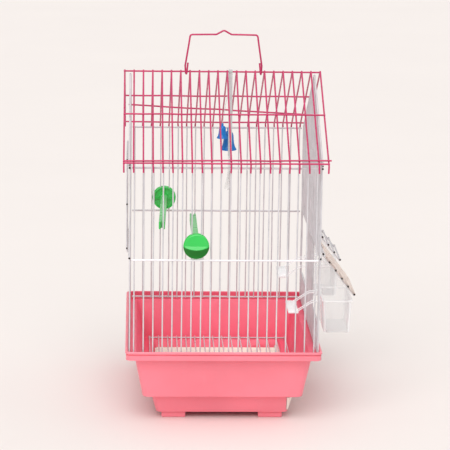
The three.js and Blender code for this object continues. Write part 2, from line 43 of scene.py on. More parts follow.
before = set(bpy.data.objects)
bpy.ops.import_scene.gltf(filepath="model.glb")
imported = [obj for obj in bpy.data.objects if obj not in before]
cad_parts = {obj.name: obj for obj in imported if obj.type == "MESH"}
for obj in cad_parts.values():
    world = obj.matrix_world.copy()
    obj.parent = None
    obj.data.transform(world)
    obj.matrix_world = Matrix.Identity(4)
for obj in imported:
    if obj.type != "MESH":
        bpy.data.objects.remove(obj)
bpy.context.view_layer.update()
MM = 0.001


# ------------------------------------------------------------------ places taken from the frame
def middle(node):
    low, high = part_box(node)
    return (low + high) / 2


RIM_LOW, RIM_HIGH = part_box("base_tub")
MID_X = middle("base_tub").x  # the cage's own middle: the feeders make the whole object lopsided
HALF_X = (RIM_HIGH.x - RIM_LOW.x) / 2
HALF_Y = (RIM_HIGH.y - RIM_LOW.y) / 2
RIM_Z = RIM_HIGH.z
FRONT_Y = middle("front_wall").y
REAR_Y = middle("rear_wall").y
RIGHT_X = middle("right_gable_wall").x
ROOF_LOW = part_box("roof_front_slope")[0]


def srgb(red, green, blue):
    """Linear colour of an 8-bit one, as the colour settings hold it."""
    def linear(value):
        value /= 255
        return value / 12.92 if value <= 0.04045 else ((value + 0.055) / 1.055) ** 2.4
    return (linear(red), linear(green), linear(blue))


# ------------------------------------------------------------------ settings
def length(name, description, default):
    return bpy.props.FloatProperty(
        name=name, description=description, default=default, min=0.0, unit="LENGTH", precision=4)


def colour(name, description, default):
    return bpy.props.FloatVectorProperty(
        name=name, description=description, default=default, size=3, min=0.0, max=1.0, subtype="COLOR")


class CageWires(bpy.types.PropertyGroup):
    upright: length("Upright wire", "Thickness of the walls' upright wires", 1.65 * MM)
    rail: length("Rail", "Thickness of the walls' cross rails", 2.3 * MM)
    roof: length("Roof wire", "Thickness of the roof's long and cross wires", 2.0 * MM)
    handle: length("Handle wire", "Thickness of the carrying handle", 2.1 * MM)
    sway: length("Sway", "How far a wire may stray from straight", 0.22 * MM)
    end_wall_count: bpy.props.IntProperty(
        name="End wall wires", description="Upright wires in the front and rear walls", default=20, min=4)
    gable_count: bpy.props.IntProperty(
        name="Gable wires", description="Upright wires in each gable wall", default=26, min=4)
    roof_count: bpy.props.IntProperty(
        name="Roof wires", description="Long wires over the roof", default=22, min=4)


class CageColours(bpy.types.PropertyGroup):
    tub: colour("Tub", "Moulded tub", srgb(253, 136, 152))
    drawer: colour("Drawer", "Litter drawer", srgb(252, 243, 232))
    wall_wire: colour("Wall wire", "Coating of the walls' wire", srgb(213, 211, 215))
    roof_wire: colour("Roof wire", "Coating of the roof and handle", srgb(200, 38, 99))
    perch: colour("Perch", "Perches and their knobs", srgb(62, 206, 92))
    bell: colour("Bell", "Bells of the toy", srgb(12, 122, 204))
    clear: colour("Clear parts", "Cups, covers and steps", srgb(250, 251, 252))
    cut_end: colour("Cut ends", "Bare ends of the cut wires", srgb(22, 20, 20))
    floor: colour("Floor", "Surface under the cage", srgb(236, 230, 227))


# ------------------------------------------------------------------ material helpers
def new_material(name):
    material = bpy.data.materials.get(name) or bpy.data.materials.new(name)
    material.use_nodes = True
    nodes = material.node_tree.nodes
    nodes.clear()
    output = nodes.new("ShaderNodeOutputMaterial")
    shader = nodes.new("ShaderNodeBsdfPrincipled")
    material.node_tree.links.new(shader.outputs["BSDF"], output.inputs["Surface"])
    return material, shader


def noise(material, scale, detail=3.0, stretch=(1, 1, 1)):
    """Noise on object coordinates, with this many features a metre."""
    tree = material.node_tree
    place = tree.nodes.new("ShaderNodeTexCoord")
    mapping = tree.nodes.new("ShaderNodeMapping")
    mapping.inputs["Scale"].default_value = stretch
    texture = tree.nodes.new("ShaderNodeTexNoise")
    texture.inputs["Scale"].default_value = scale
    texture.inputs["Detail"].default_value = detail
    tree.links.new(place.outputs["Object"], mapping.inputs["Vector"])
    tree.links.new(mapping.outputs["Vector"], texture.inputs["Vector"])
    return texture.outputs["Fac"]


def ranged(material, value, low, high, to_low, to_high):
    """The value from low..high carried to to_low..to_high, and held there."""
    node = material.node_tree.nodes.new("ShaderNodeMapRange")
    for key, number in (("From Min", low), ("From Max", high), ("To Min", to_low), ("To Max", to_high)):
        node.inputs[key].default_value = number
    material.node_tree.links.new(value, node.inputs["Value"])
    return node.outputs["Result"]


def blended(material, factor, first, second):
    """Two colours, or a colour and a socket, mixed by a socket."""
    tree = material.node_tree
    node = tree.nodes.new("ShaderNodeMix")
    node.data_type = "RGBA"
    tree.links.new(factor, node.inputs["Factor"])
    for key, value in (("A", first), ("B", second)):
        socket = next(s for s in node.inputs if s.name == key and s.type == "RGBA")
        if isinstance(value, bpy.types.NodeSocket):
            tree.links.new(value, socket)
        else:
            socket.default_value = (*value, 1)
    return next(s for s in node.outputs if s.type == "RGBA")


def shaded(tint, factor):
    return tuple(min(1.0, channel * factor) for channel in tint)


def tinted(tint, shares):
    """The tint with each channel cut to its own share."""
    return tuple(channel * share for channel, share in zip(tint, shares))


def bump(material, shader, height, strength, distance):
    node = material.node_tree.nodes.new("ShaderNodeBump")
    node.inputs["Strength"].default_value = strength
    node.inputs["Distance"].default_value = distance
    material.node_tree.links.new(height, node.inputs["Height"])
    material.node_tree.links.new(node.outputs["Normal"], shader.inputs["Normal"])


def moulded_plastic(name, tint, roughness=0.34, scuffs=0.0, soft=0.0):
    """Injection-moulded plastic: slow colour drift, fine orange peel and, if asked, pale scuffs."""
    material, shader = new_material(name)
    drift = ranged(material, noise(material, 14, 2), 0.35, 0.65, 0, 1)
    base = blended(material, drift, shaded(tint, 0.93), shaded(tint, 1.04))
    if scuffs:
        streaks = noise(material, 90, 4, (1, 1, 0.18))
        marks = ranged(material, streaks, 0.60, 0.74, 0, scuffs)
        pale = tuple(channel * 0.55 + 0.45 for channel in tint)
        base = blended(material, marks, base, pale)
    material.node_tree.links.new(base, shader.inputs["Base Color"])
    gloss = ranged(material, noise(material, 60, 4), 0.3, 0.7, roughness - 0.05, roughness + 0.08)
    material.node_tree.links.new(gloss, shader.inputs["Roughness"])
    shader.inputs["Specular IOR Level"].default_value = 0.5
    if soft:
        shader.inputs["Subsurface Weight"].default_value = soft
        shader.inputs["Subsurface Radius"].default_value = (0.006, 0.003, 0.003)
        shader.inputs["Subsurface Scale"].default_value = 1.0
    bump(material, shader, noise(material, 700, 2), 0.10, 0.0004)
    return material


def coated_wire(name, tint, roughness=0.3):
    """Wire dipped in plastic powder coat: slightly uneven colour, gloss and thickness."""
    material, shader = new_material(name)
    drift = ranged(material, noise(material, 45, 3), 0.3, 0.7, 0, 1)
    base = blended(material, drift, shaded(tint, 0.86), shaded(tint, 1.05))
    material.node_tree.links.new(base, shader.inputs["Base Color"])
    gloss = ranged(material, noise(material, 160, 3), 0.3, 0.7, roughness - 0.06, roughness + 0.12)
    material.node_tree.links.new(gloss, shader.inputs["Roughness"])
    shader.inputs["Coat Weight"].default_value = 0.25
    shader.inputs["Coat Roughness"].default_value = 0.2
    bump(material, shader, noise(material, 900, 3), 0.18, 0.0003)
    return material


def bare_end(name, tint):
    """Oxidised steel where a coated wire was cut."""
    material, shader = new_material(name)
    rust = ranged(material, noise(material, 2500, 3), 0.45, 0.7, 0, 1)
    base = blended(material, rust, tint, (0.05, 0.022, 0.012))
    material.node_tree.links.new(base, shader.inputs["Base Color"])
    shader.inputs["Roughness"].default_value = 0.7
    shader.inputs["Metallic"].default_value = 0.3
    return material


def clear_plastic(name, tint, opacity=0.3, haze=0.08, edge_opacity=0.9, glow=0.04, body=0.66):
    """Thin clear styrene, denser where it is seen edge on, with a faint haze of scratches.
    body is how much of its colour stays where it faces the viewer; the colour is painted lighter towards
    where it is seen edge on, as a painted highlight. glow is painted light: a faint emission standing in for
    light carried inside."""
    material, shader = new_material(name)
    tree = material.node_tree
    scratches = ranged(material, noise(material, 260, 5, (1, 1, 0.3)), 0.55, 0.8, 0, 0.08)
    edge = tree.nodes.new("ShaderNodeLayerWeight")
    edge.inputs["Blend"].default_value = 0.3
    dense = ranged(material, edge.outputs["Facing"], 0.0, 0.9, opacity * 0.6, edge_opacity)
    # painted highlight: the colour is dimmed to body face on and lighter edge on
    shade = ranged(material, edge.outputs["Facing"], 0.1, 0.6, 0, 1)
    tree.links.new(blended(material, shade, shaded(tint, body), tint), shader.inputs["Base Color"])
    total = tree.nodes.new("ShaderNodeMath")
    total.operation = "ADD"
    total.use_clamp = True
    tree.links.new(dense, total.inputs[0])
    tree.links.new(scratches, total.inputs[1])
    tree.links.new(total.outputs[0], shader.inputs["Alpha"])
    # painted light: a faint emission, though the plastic is no lamp
    shader.inputs["Emission Color"].default_value = (*tint, 1)
    shader.inputs["Emission Strength"].default_value = glow
    shader.inputs["Roughness"].default_value = haze
    shader.inputs["Specular IOR Level"].default_value = 0.7
    bump(material, shader, noise(material, 180, 2), 0.08, 0.0006)
    return material


def painted_floor(name, tint):
    material, shader = new_material(name)
    drift = ranged(material, noise(material, 3, 3), 0.3, 0.7, 0, 1)
    base = blended(material, drift, shaded(tint, 0.985), tint)
    material.node_tree.links.new(base, shader.inputs["Base Color"])
    shader.inputs["Roughness"].default_value = 0.6
    return material


# ------------------------------------------------------------------ mesh helpers
def verts_in(made):
    return [item for item in made if isinstance(item, bmesh.types.BMVert)]


def edges_in(made):
    return [item for item in made if isinstance(item, bmesh.types.BMEdge)]


def faces_in(made):
    return [item for item in made if isinstance(item, bmesh.types.BMFace)]


def add_wire(bm, points, thickness, sides=10, end_material=0):
    """One wire along the points. Its two cut ends take end_material."""
    points = [Vector(p) for p in points]
    headings = []
    for i in range(len(points)):
        before = points[i] - points[max(i - 1, 0)]
        after = points[min(i + 1, len(points) - 1)] - points[i]
        headings.append((before.normalized() + after.normalized()).normalized())
    turn = Vector((0, 0, 1)).rotation_difference(headings[0])
    place = Matrix.Translation(points[0]) @ turn.to_matrix().to_4x4()
    ring = bmesh.ops.create_circle(bm, cap_ends=True, segments=sides, radius=thickness / 2, matrix=place)
    first = ring["verts"][0].link_faces[0]
    first.material_index = end_material
    edges = list(first.edges)
    for i in range(1, len(points)):
        made = bmesh.ops.extrude_edge_only(bm, edges=edges)["geom"]
        verts = verts_in(made)
        fresh = set(verts)
        edges = [edge for edge in edges_in(made) if set(edge.verts) <= fresh]
        for face in faces_in(made):
            face.material_index = 0
        turn = headings[i - 1].rotation_difference(headings[i]) @ turn
        new_place = Matrix.Translation(points[i]) @ turn.to_matrix().to_4x4()
        bmesh.ops.transform(bm, matrix=new_place @ place.inverted(), verts=verts)
        place = new_place
    for face in bmesh.ops.contextual_create(bm, geom=edges)["faces"]:
        face.material_index = end_material


def rounded_path(points, radius, steps=5):
    """The points with each inner corner turned into an arc."""
    points = [Vector(p) for p in points]
    path = [points[0]]
    for i in range(1, len(points) - 1):
        corner = points[i]
        back = points[i - 1] - corner
        on = points[i + 1] - corner
        angle = back.angle(on)
        reach = min(radius / math.tan(angle / 2), back.length * 0.49, on.length * 0.49)
        start = corner + back.normalized() * reach
        stop = corner + on.normalized() * reach
        bisector = (back.normalized() + on.normalized()).normalized()
        true_radius = reach * math.tan(angle / 2)
        centre = corner + bisector * math.hypot(true_radius, reach)
        for step in range(steps + 1):
            arm = (start - centre).slerp(stop - centre, step / steps)  # a unit vector
            path.append(centre + arm * true_radius)
    path.append(points[-1])
    return path


def swaying(a, b, sway, seed, parts=4):
    """A nearly straight run from a to b that strays a little, as drawn wire does."""
    rng = random.Random(seed)
    a, b = Vector(a), Vector(b)
    along = (b - a).normalized()
    side = along.orthogonal().normalized()
    other = along.cross(side)
    points = []
    for i in range(parts + 1):
        t = i / parts
        slack = math.sin(math.pi * t) * sway
        points.append(a.lerp(b, t) + side * rng.uniform(-slack, slack) + other * rng.uniform(-slack, slack))
    return points


def add_weld(bm, point, thickness):
    """A small blob of coating where two wires cross."""
    place = Matrix.Translation(Vector(point)) @ Matrix.Diagonal((0.78, 0.62, 0.78, 1))
    bmesh.ops.create_icosphere(bm, subdivisions=1, radius=thickness, matrix=place)


def add_block(bm, low, high, bevel=0.0, segments=2):
    """A box between two corners, with its edges rounded."""
    low, high = Vector(low), Vector(high)
    size = high - low
    place = Matrix.Translation((low + high) / 2) @ Matrix.Diagonal((*size, 1))
    made = bmesh.ops.create_cube(bm, size=1.0, matrix=place)
    if bevel:
        edges = list({edge for vert in made["verts"] for edge in vert.link_edges})
        bmesh.ops.bevel(bm, geom=edges, offset=bevel, segments=segments, profile=0.5,
                        affect="EDGES", material=-1)


def rounded_loft(rings, centre=(0.0, 0.0), steps=6):
    """Closed body through rounded rectangles, each (half x, half y, corner radius, z)."""
    bm = bmesh.new()
    half_x, half_y, radius, z = rings[0]
    corners = bmesh.ops.create_grid(bm, x_segments=1, y_segments=1, size=1.0)["verts"]
    bmesh.ops.transform(bm, matrix=Matrix.Translation((0, 0, z)) @ Matrix.Diagonal((half_x, half_y, 1, 1)),
                        verts=corners)
    bmesh.ops.bevel(bm, geom=corners, offset=radius, segments=steps, profile=0.5,
                    affect="VERTICES", material=-1)
    bm.faces.ensure_lookup_table()
    face = bm.faces[0]
    last = rings[0]
    for number, ring in enumerate(rings[1:]):
        made = bmesh.ops.extrude_face_region(bm, geom=[face])["geom"]
        if number:  # the first face stays as the underside
            bmesh.ops.delete(bm, geom=[face], context="FACES_ONLY")
        face = faces_in(made)[0]
        for sign_x in (-1, 1):
            for sign_y in (-1, 1):
                verts = [v for v in face.verts if v.co.x * sign_x > 0 and v.co.y * sign_y > 0]
                was = Vector((sign_x * (last[0] - last[2]), sign_y * (last[1] - last[2]), last[3]))
                now = Vector((sign_x * (ring[0] - ring[2]), sign_y * (ring[1] - ring[2]), ring[3]))
                growth = ring[2] / last[2]
                move = Matrix.Translation(now) @ Matrix.Diagonal((growth, growth, 1, 1))
                bmesh.ops.transform(bm, matrix=move @ Matrix.Translation(-was), verts=verts)
        last = ring
    bmesh.ops.translate(bm, vec=(*centre, 0), verts=bm.verts)
    return bm


def sweep_edge(bm, edge, route):
    """Strip of faces left behind by an edge carried along the route's points."""
    for here, there in zip(route, route[1:]):
        made = bmesh.ops.extrude_edge_only(bm, edges=[edge])["geom"]
        fresh = verts_in(made)
        edge = next(item for item in edges_in(made) if set(item.verts) <= set(fresh))
        bmesh.ops.translate(bm, vec=there - here, verts=fresh)


def extrude_face(bm, face, vec):
    """Carries a face off by vec with walls behind it, and gives what was made."""
    made = bmesh.ops.extrude_face_region(bm, geom=[face])["geom"]
    bmesh.ops.translate(bm, vec=vec, verts=verts_in(made))
    return made


def colour_faces_from(bm, start, material_index):
    """Gives every face from number start on this material."""
    bm.faces.ensure_lookup_table()
    for face in bm.faces[start:]:
        face.material_index = material_index


def spun(bm, profile, place, steps=32):
    """Round body turned from (radius, height) points that start and end on the axis."""
    before = set(bm.verts)
    verts = [bm.verts.new((radius, 0, height)) for radius, height in profile]
    edges = [bm.edges.new(pair) for pair in zip(verts, verts[1:])]
    bmesh.ops.spin(bm, geom=verts + edges, cent=(0, 0, 0), axis=(0, 0, 1), angle=math.tau,
                   steps=steps, use_merge=True)
    fresh = [v for v in bm.verts if v not in before]
    bmesh.ops.remove_doubles(bm, verts=fresh, dist=1e-6)
    fresh = [v for v in bm.verts if v not in before]
    bmesh.ops.transform(bm, matrix=place, verts=fresh)


def absorb(bm, other, place=Matrix.Identity(4)):
    """Adds another bmesh's body to bm and frees it."""
    other.transform(place)
    mesh = bpy.data.meshes.new("part")
    other.to_mesh(mesh)
    other.free()
    bm.from_mesh(mesh)
    bpy.data.meshes.remove(mesh)


def piece(name, bm, materials, body, replaces=(), bevel=0.0, sharp=38):
    """Makes the finished object from bm, rides it on its body and gives it its materials."""
    bmesh.ops.recalc_face_normals(bm, faces=bm.faces)
    mesh = bpy.data.meshes.new(name)
    bm.to_mesh(mesh)
    bm.free()
    for material in materials:
        mesh.materials.append(material)
    mesh.polygons.foreach_set("use_smooth", [True] * len(mesh.polygons))
    mesh.set_sharp_from_angle(angle=math.radians(sharp))
    thing = bpy.data.objects.new(name, mesh)
    bpy.context.scene.collection.objects.link(thing)
    if bevel:
        modifier = thing.modifiers.new("soft edges", "BEVEL")
        modifier.width = bevel
        modifier.segments = 3
        modifier.limit_method = "ANGLE"
        modifier.angle_limit = math.radians(32)
        modifier.harden_normals = True
    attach(thing, body)
    if replaces:
        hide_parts(*replaces)
    return thing


def carve(thing, bm):
    """Cuts the body in bm out of a finished object."""
    bmesh.ops.recalc_face_normals(bm, faces=bm.faces)
    mesh = bpy.data.meshes.new("cutter")
    bm.to_mesh(mesh)
    bm.free()
    cutter = bpy.data.objects.new("cutter", mesh)
    bpy.context.scene.collection.objects.link(cutter)
    modifier = thing.modifiers.new("cut", "BOOLEAN")
    modifier.operation = "DIFFERENCE"
    modifier.solver = "EXACT"
    modifier.object = cutter
    while thing.modifiers[0] != modifier:
        bpy.context.view_layer.objects.active = thing
        thing.modifiers.move(thing.modifiers.find("cut"), 0)
    others = [m for m in thing.modifiers if m != modifier]
    for other in others:
        other.show_viewport = False
    graph = bpy.context.evaluated_depsgraph_get()
    graph.update()
    result = bpy.data.meshes.new_from_object(thing.evaluated_get(graph))
    for other in others:
        other.show_viewport = True
    thing.modifiers.remove(modifier)
    thing.data = result
    bpy.data.objects.remove(cutter)
    bpy.data.meshes.remove(mesh)


# ------------------------------------------------------------------ base tub
TUB_RINGS = [  # (inset from the rim, corner radius, z) in mm, from the underside up, over the rim and in
    (36.5, 5.5, 7.6), (36, 6, 8.2), (30.2, 6.5, 30.2), (20.8, 7.4, 30.2), (20, 8, 31.0),
    (11, 8, 78.0), (2.4, 6, 78.6), (0.8, 6.2, 79.2), (0.8, 6.2, 84.9),
    (2.0, 5, 85.4), (2.0, 5, 86.1), (0, 6.5, 86.6), (0, 6.5, 88.3), (0.7, 5.9, 89.0),
    (2.4, 4.6, 89.0), (3.1, 3.9, 88.3), (3.1, 3.9, 81.2), (3.7, 3.6, 80.6),
    (11.0, 7.6, 80.6), (11.4, 7.6, 81.6), (12.6, 7.2, 81.6), (13.4, 7, 80.6),
    (22.0, 6.4, 34.9), (23.3, 5.6, 33.6), (31.9, 5.6, 33.6), (32.8, 5, 32.7),
    (38.2, 4.4, 10.8), (39.2, 3.8, 9.8),
]
FOOT_SIZE = Vector((28, 20, 8.1)) * MM
FOOT_X = 56.5 * MM
FOOT_Y = 98 * MM
MOUTH_X = 75 * MM  # the plinth is open from here to its right end, for the drawer
WELL_FLOOR_Z = 9.8 * MM
MOUTH_TOP_Z = 27.0 * MM
PASSAGE_LENGTH = 20 * MM  # hole through the plinth's wall, from the mouth to the drawer's bay
PASSAGE_INSETS = (38.7 * MM, 34.2 * MM)  # from the rim to the passage's sides, at its floor and its top
INSIDE_SHADE_SHARES = (1, 0.58, 0.74)  # painted shade: light bounced about inside the tub deepens its pink, so the inner faces take this darker copy of the tub colour


def make_base_tub(colours):
    rings = [(HALF_X - inset * MM, HALF_Y - inset * MM, corner * MM, z * MM)
             for inset, corner, z in TUB_RINGS]
    bm = rounded_loft(rings, (MID_X, 0.0))
    pink = moulded_plastic("pink moulded plastic", colours.tub, 0.33, scuffs=0.04, soft=0.12)
    # painted shade: a deeper pink copy of the tub colour, standing in for light bounced about inside the tub
    inside = tinted(colours.tub, INSIDE_SHADE_SHARES)
    painted_shade_material = moulded_plastic("pink moulded plastic with painted inside shade", inside, 0.36, scuffs=0.05, soft=0.12)
    bmesh.ops.recalc_face_normals(bm, faces=bm.faces)
    # inward faces and upward faces below the rim take the painted shade
    for face in bm.faces:
        place = face.calc_center_median()
        outward = Vector((place.x - MID_X, place.y, 0))
        if face.normal.dot(outward) < 0 or (face.normal.z > 0.9 and place.z < RIM_Z - 5 * MM):
            face.material_index = 1
    tub = piece("tub_shell", bm, [pink, painted_shade_material], "cage", ["base_tub"], bevel=0.5 * MM)
    mouth = bmesh.new()
    add_block(mouth, (MID_X + MOUTH_X, -HALF_Y, WELL_FLOOR_Z), (MID_X + HALF_X, HALF_Y, MOUTH_TOP_Z))
    carve(tub, mouth)
    passage = [(PASSAGE_LENGTH / 2, HALF_Y - inset, 0.5 * MM, z)
               for inset, z in zip(PASSAGE_INSETS, (WELL_FLOOR_Z, MOUTH_TOP_Z))]
    carve(tub, rounded_loft(passage, (MID_X + MOUTH_X - 5 * MM, 0.0), 1))
    feet = bmesh.new()
    for sign_x in (-1, 1):
        for sign_y in (-1, 1):
            centre = Vector((MID_X + sign_x * FOOT_X, sign_y * FOOT_Y, FOOT_SIZE.z / 2))
            add_block(feet, centre - FOOT_SIZE / 2, centre + FOOT_SIZE / 2, 1.2 * MM, 3)
    piece("tub_feet", feet, [pink], "cage")


# ------------------------------------------------------------------ litter drawer
def make_drawer(colours):
    low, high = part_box("litter_drawer")
    cream = moulded_plastic("cream moulded plastic", colours.drawer, 0.42, scuffs=0.08, soft=0.1)
    floor_z, top = low.z, 24.6 * MM
    half_x, half_y, flare, wall = 74.8 * MM, 108.8 * MM, 3.6 * MM, 1.6 * MM
    sides = [  # (out from the tray's own low edge, corner radius, z)
        (-1.0 * MM, 4.2 * MM, floor_z), (0.1 * MM, 5 * MM, floor_z + 1.0 * MM),
        (flare - 0.1 * MM, 5 * MM, top - 0.4 * MM), (flare - 0.4 * MM, 4.7 * MM, top),
        (flare - wall + 0.2 * MM, 3.8 * MM, top), (flare - wall - 0.1 * MM, 3.6 * MM, top - 0.4 * MM),
        (0.5 * MM - wall, 3.6 * MM, floor_z + wall + 1.4 * MM),
        (-1.1 * MM - wall, 2.6 * MM, floor_z + wall)]
    rings = [(half_x + out, half_y + out, radius, z) for out, radius, z in sides]
    bm = rounded_loft(rings, (MID_X + 1.2 * MM, 0.0), 5)
    front_rings = [(77.7 * MM, 112.7 * MM, 6 * MM, floor_z), (81.8 * MM, 116.8 * MM, 6 * MM, 26.6 * MM)]
    front = rounded_loft(front_rings, (MID_X, 0.0), 8)
    cut = bmesh.ops.bisect_plane(
        front, geom=front.verts[:] + front.edges[:] + front.faces[:],
        plane_co=(MID_X + MOUTH_X + 0.4 * MM, 0, 0), plane_no=(1, 0, 0), clear_inner=True)
    bmesh.ops.contextual_create(front, geom=edges_in(cut["geom_cut"]))
    absorb(bm, front)
    add_block(bm, (MID_X + 80 * MM, -22 * MM, 21.4 * MM), (high.x, 22 * MM, 23.2 * MM), 0.7 * MM)
    piece("drawer", bm, [cream], "drawer", ["litter_drawer"], bevel=0.4 * MM)


# ------------------------------------------------------------------ wire grilles
CUT_END = 1  # numbers of the wire materials, after the plain coated wire's 0
# painted highlight: material 2 is a lighter copy of the wire coating, standing in for light falling on the
# front wall's lower rails
PAINTED_HIGHLIGHT_RAIL = 2
RAIL_INSET = 1.1 * MM  # from a wall's edge to the middle of its outermost rail
FLOOR_WIRES = 16
DOOR_WIRES = 12


def wire_materials(colours):
    return [coated_wire("white coated wire", colours.wall_wire), bare_end("cut wire end", colours.cut_end),
            coated_wire("white coated wire with painted highlight", shaded(colours.wall_wire, 1.38), 0.22)]


def make_floor_grid(wires, colours):
    low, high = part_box("floor_grid")
    inset = 1.5 * MM
    rails = [low.y + 1.8 * MM, 0, high.y - 1.8 * MM]
    bm = bmesh.new()
    rail_z = low.z + wires.upright / 2
    wire_z = rail_z + wires.upright * 0.92
    for i in range(FLOOR_WIRES):
        x = low.x + inset + (high.x - low.x - 2 * inset) * i / (FLOOR_WIRES - 1)
        add_wire(bm, swaying((x, low.y, wire_z), (x, high.y, wire_z), wires.sway, i), wires.upright)
        for y in rails:
            add_weld(bm, (x, y, (rail_z + wire_z) / 2), wires.upright * 0.6)
    for y in rails:
        add_wire(bm, [(low.x, y, rail_z), (high.x, y, rail_z)], wires.upright)
    piece("floor_wires", bm, wire_materials(colours)[:1], "cage", ["floor_grid"])


MID_RAIL_RISE = 111.9 * MM  # from the low rail to the mid rail of the front and rear walls


def make_end_wall(name, node, y, outward, wires, colours):
    """outward is -1 for the front wall, whose lower two rails are painted lighter as a painted highlight,
    and 1 for the rear wall.
    """
    low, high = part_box(node)
    inset = 2.9 * MM
    rails = [low.z + RAIL_INSET, low.z + RAIL_INSET + MID_RAIL_RISE, high.z - RAIL_INSET]
    rail_y = y + outward * 0.4 * MM
    wire_y = y - outward * 0.25 * MM
    bm = bmesh.new()
    count = wires.end_wall_count
    for i in range(count):
        x = low.x + inset + (high.x - low.x - 2 * inset) * i / (count - 1)
        run = swaying((x, wire_y, low.z), (x, wire_y, high.z), wires.sway, 100 * outward + i)
        add_wire(bm, run, wires.upright)
        for z in rails:
            add_weld(bm, (x, y, z), wires.upright * 0.72)
    for z in rails:
        run = swaying((low.x, rail_y, z), (high.x, rail_y, z), wires.sway, round(z * 1e4) + outward, 8)
        start = len(bm.faces)
        add_wire(bm, run, wires.rail, 12, CUT_END)
        # painted highlight on the front wall's lower two rails
        if outward < 0 and z < rails[-1]:
            bm.faces.ensure_lookup_table()
            for face in bm.faces[start:]:
                face.material_index = face.material_index or PAINTED_HIGHLIGHT_RAIL
    piece(name, bm, wire_materials(colours), "cage", [node])


RIGHT_PANELS = ["right_sill_panel", "right_gable_wall", "right_front_post", "right_centre_panel",
                "right_rear_post"]
LEFT_PANELS = ["left_lower_panel", "left_gable_wall", "left_front_panel", "left_rear_panel"]
SIDE_MID_RAIL_Z = 197.8 * MM
FEEDER_SILL_Z = 118 * MM
DOOR_LINTEL_Z = 290 * MM
EAVE_RAIL_Z = 302 * MM
GABLE_FOOT_Z = 304.8 * MM  # height of the sloping top wires at the front and rear walls


def make_gable_wall(name, nodes, holes, wires, colours):
    """nodes: the flat panels it stands for, lowest and highest first.
    holes: (first wire, last wire, low z, high z, z of the bar that frames it)"""
    low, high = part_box(nodes[0])[0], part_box(nodes[1])[1]
    x = (low.x + high.x) / 2
    outward = 1 if x > MID_X else -1
    rail_x = x + outward * 0.35 * MM
    wire_x = x - outward * 0.2 * MM
    half_depth = REAR_Y
    peak = high.z - 1.3 * MM
    count = wires.gable_count
    bm = bmesh.new()

    def top(y):
        return peak - (peak - GABLE_FOOT_Z) * abs(y) / half_depth

    def wire_y(i):
        return -half_depth + 2 * half_depth * i / (count - 1)

    rails = [low.z + RAIL_INSET, SIDE_MID_RAIL_Z, EAVE_RAIL_Z]
    for i in range(count):
        y = wire_y(i)
        spans = [(low.z, top(y))]
        for first, last, hole_low, hole_high, _ in holes:
            if first < i < last:
                spans = [(low.z, hole_low), (hole_high, top(y))]
        for start, stop in spans:
            add_wire(bm, swaying((wire_x, y, start), (wire_x, y, stop), wires.sway, 31 * i + round(x * 999)),
                     wires.upright)
            for z in rails:
                if start <= z <= stop:
                    add_weld(bm, (x, y, z), wires.upright * 0.72)
    for z in rails:
        run = swaying((rail_x, low.y, z), (rail_x, high.y, z), wires.sway, round(z * 1e4 + x * 999), 8)
        add_wire(bm, run, wires.rail, 12, CUT_END)
    for sign in (-1, 1):
        slope = [(rail_x, sign * 0.4 * MM, peak), (rail_x, sign * half_depth, GABLE_FOOT_Z)]
        add_wire(bm, slope, wires.rail, 12, CUT_END)
    for first, last, _, _, frame_z in holes:
        bar = [(rail_x, wire_y(first), frame_z), (rail_x, wire_y(last), frame_z)]
        add_wire(bm, bar, wires.rail, 12, CUT_END)
    piece(name, bm, wire_materials(colours)[:2], "cage", nodes)


def make_side_door(wires, colours):
    low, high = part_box("side_door")
    x = (low.x + high.x) / 2
    rails = [low.z + 5 * MM, (low.z + 5 * MM + high.z - 1 * MM) / 2, high.z - 1 * MM]
    inset = 2 * MM
    bm = bmesh.new()
    for i in range(DOOR_WIRES):
        y = low.y + inset + (high.y - low.y - 2 * inset) * i / (DOOR_WIRES - 1)
        run = [(x + 1.1 * MM, y, low.z), (x, y, low.z + 3 * MM)]
        run += swaying((x, y, low.z + 6 * MM), (x, y, high.z), wires.sway, 900 + i)
        add_wire(bm, run, wires.upright)
        for z in rails:
            add_weld(bm, (x, y, z), wires.upright * 0.66)
    for z in rails:
        add_wire(bm, [(x, low.y, z), (x, high.y, z)], 2 * MM, 12, CUT_END)
    piece("side_door_wires", bm, wire_materials(colours)[:2], "door", ["side_door"])


# ------------------------------------------------------------------ roof and handle
EAVE_Y = 145 * MM
EAVE_Z = 306 * MM
RIDGE_Z = 393 * MM
FRONT_PRONG_Z = ROOF_LOW.z
REAR_PRONG_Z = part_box("roof_rear_slope")[0].z
ROOF_FALL = math.atan2(RIDGE_Z - EAVE_Z, EAVE_Y)
ROOF_HALF_RUN = 115.5 * MM  # from the roof's middle to its outermost long wires
CROSS_WIRES = [  # (left x, left y, right x, right y) in mm
    (-116.5, -70, 116.5, -70), (-116.5, -140.6, 118.7, -138.4), (-116.5, -143.5, 116.5, -143.5),
    (-116.5, 70, 116.5, 70), (-111, 95, 113, 120), (-116.5, 143.5, 116.5, 143.5),
]


def on_slope(x, y, lift):
    """A point on the roof's slope at this x and y, lifted square off it."""
    side = 1 if y > 0 else -1
    z = RIDGE_Z - abs(y) * math.tan(ROOF_FALL)
    return Vector((MID_X + x, y + side * lift * math.sin(ROOF_FALL), z + lift * math.cos(ROOF_FALL)))


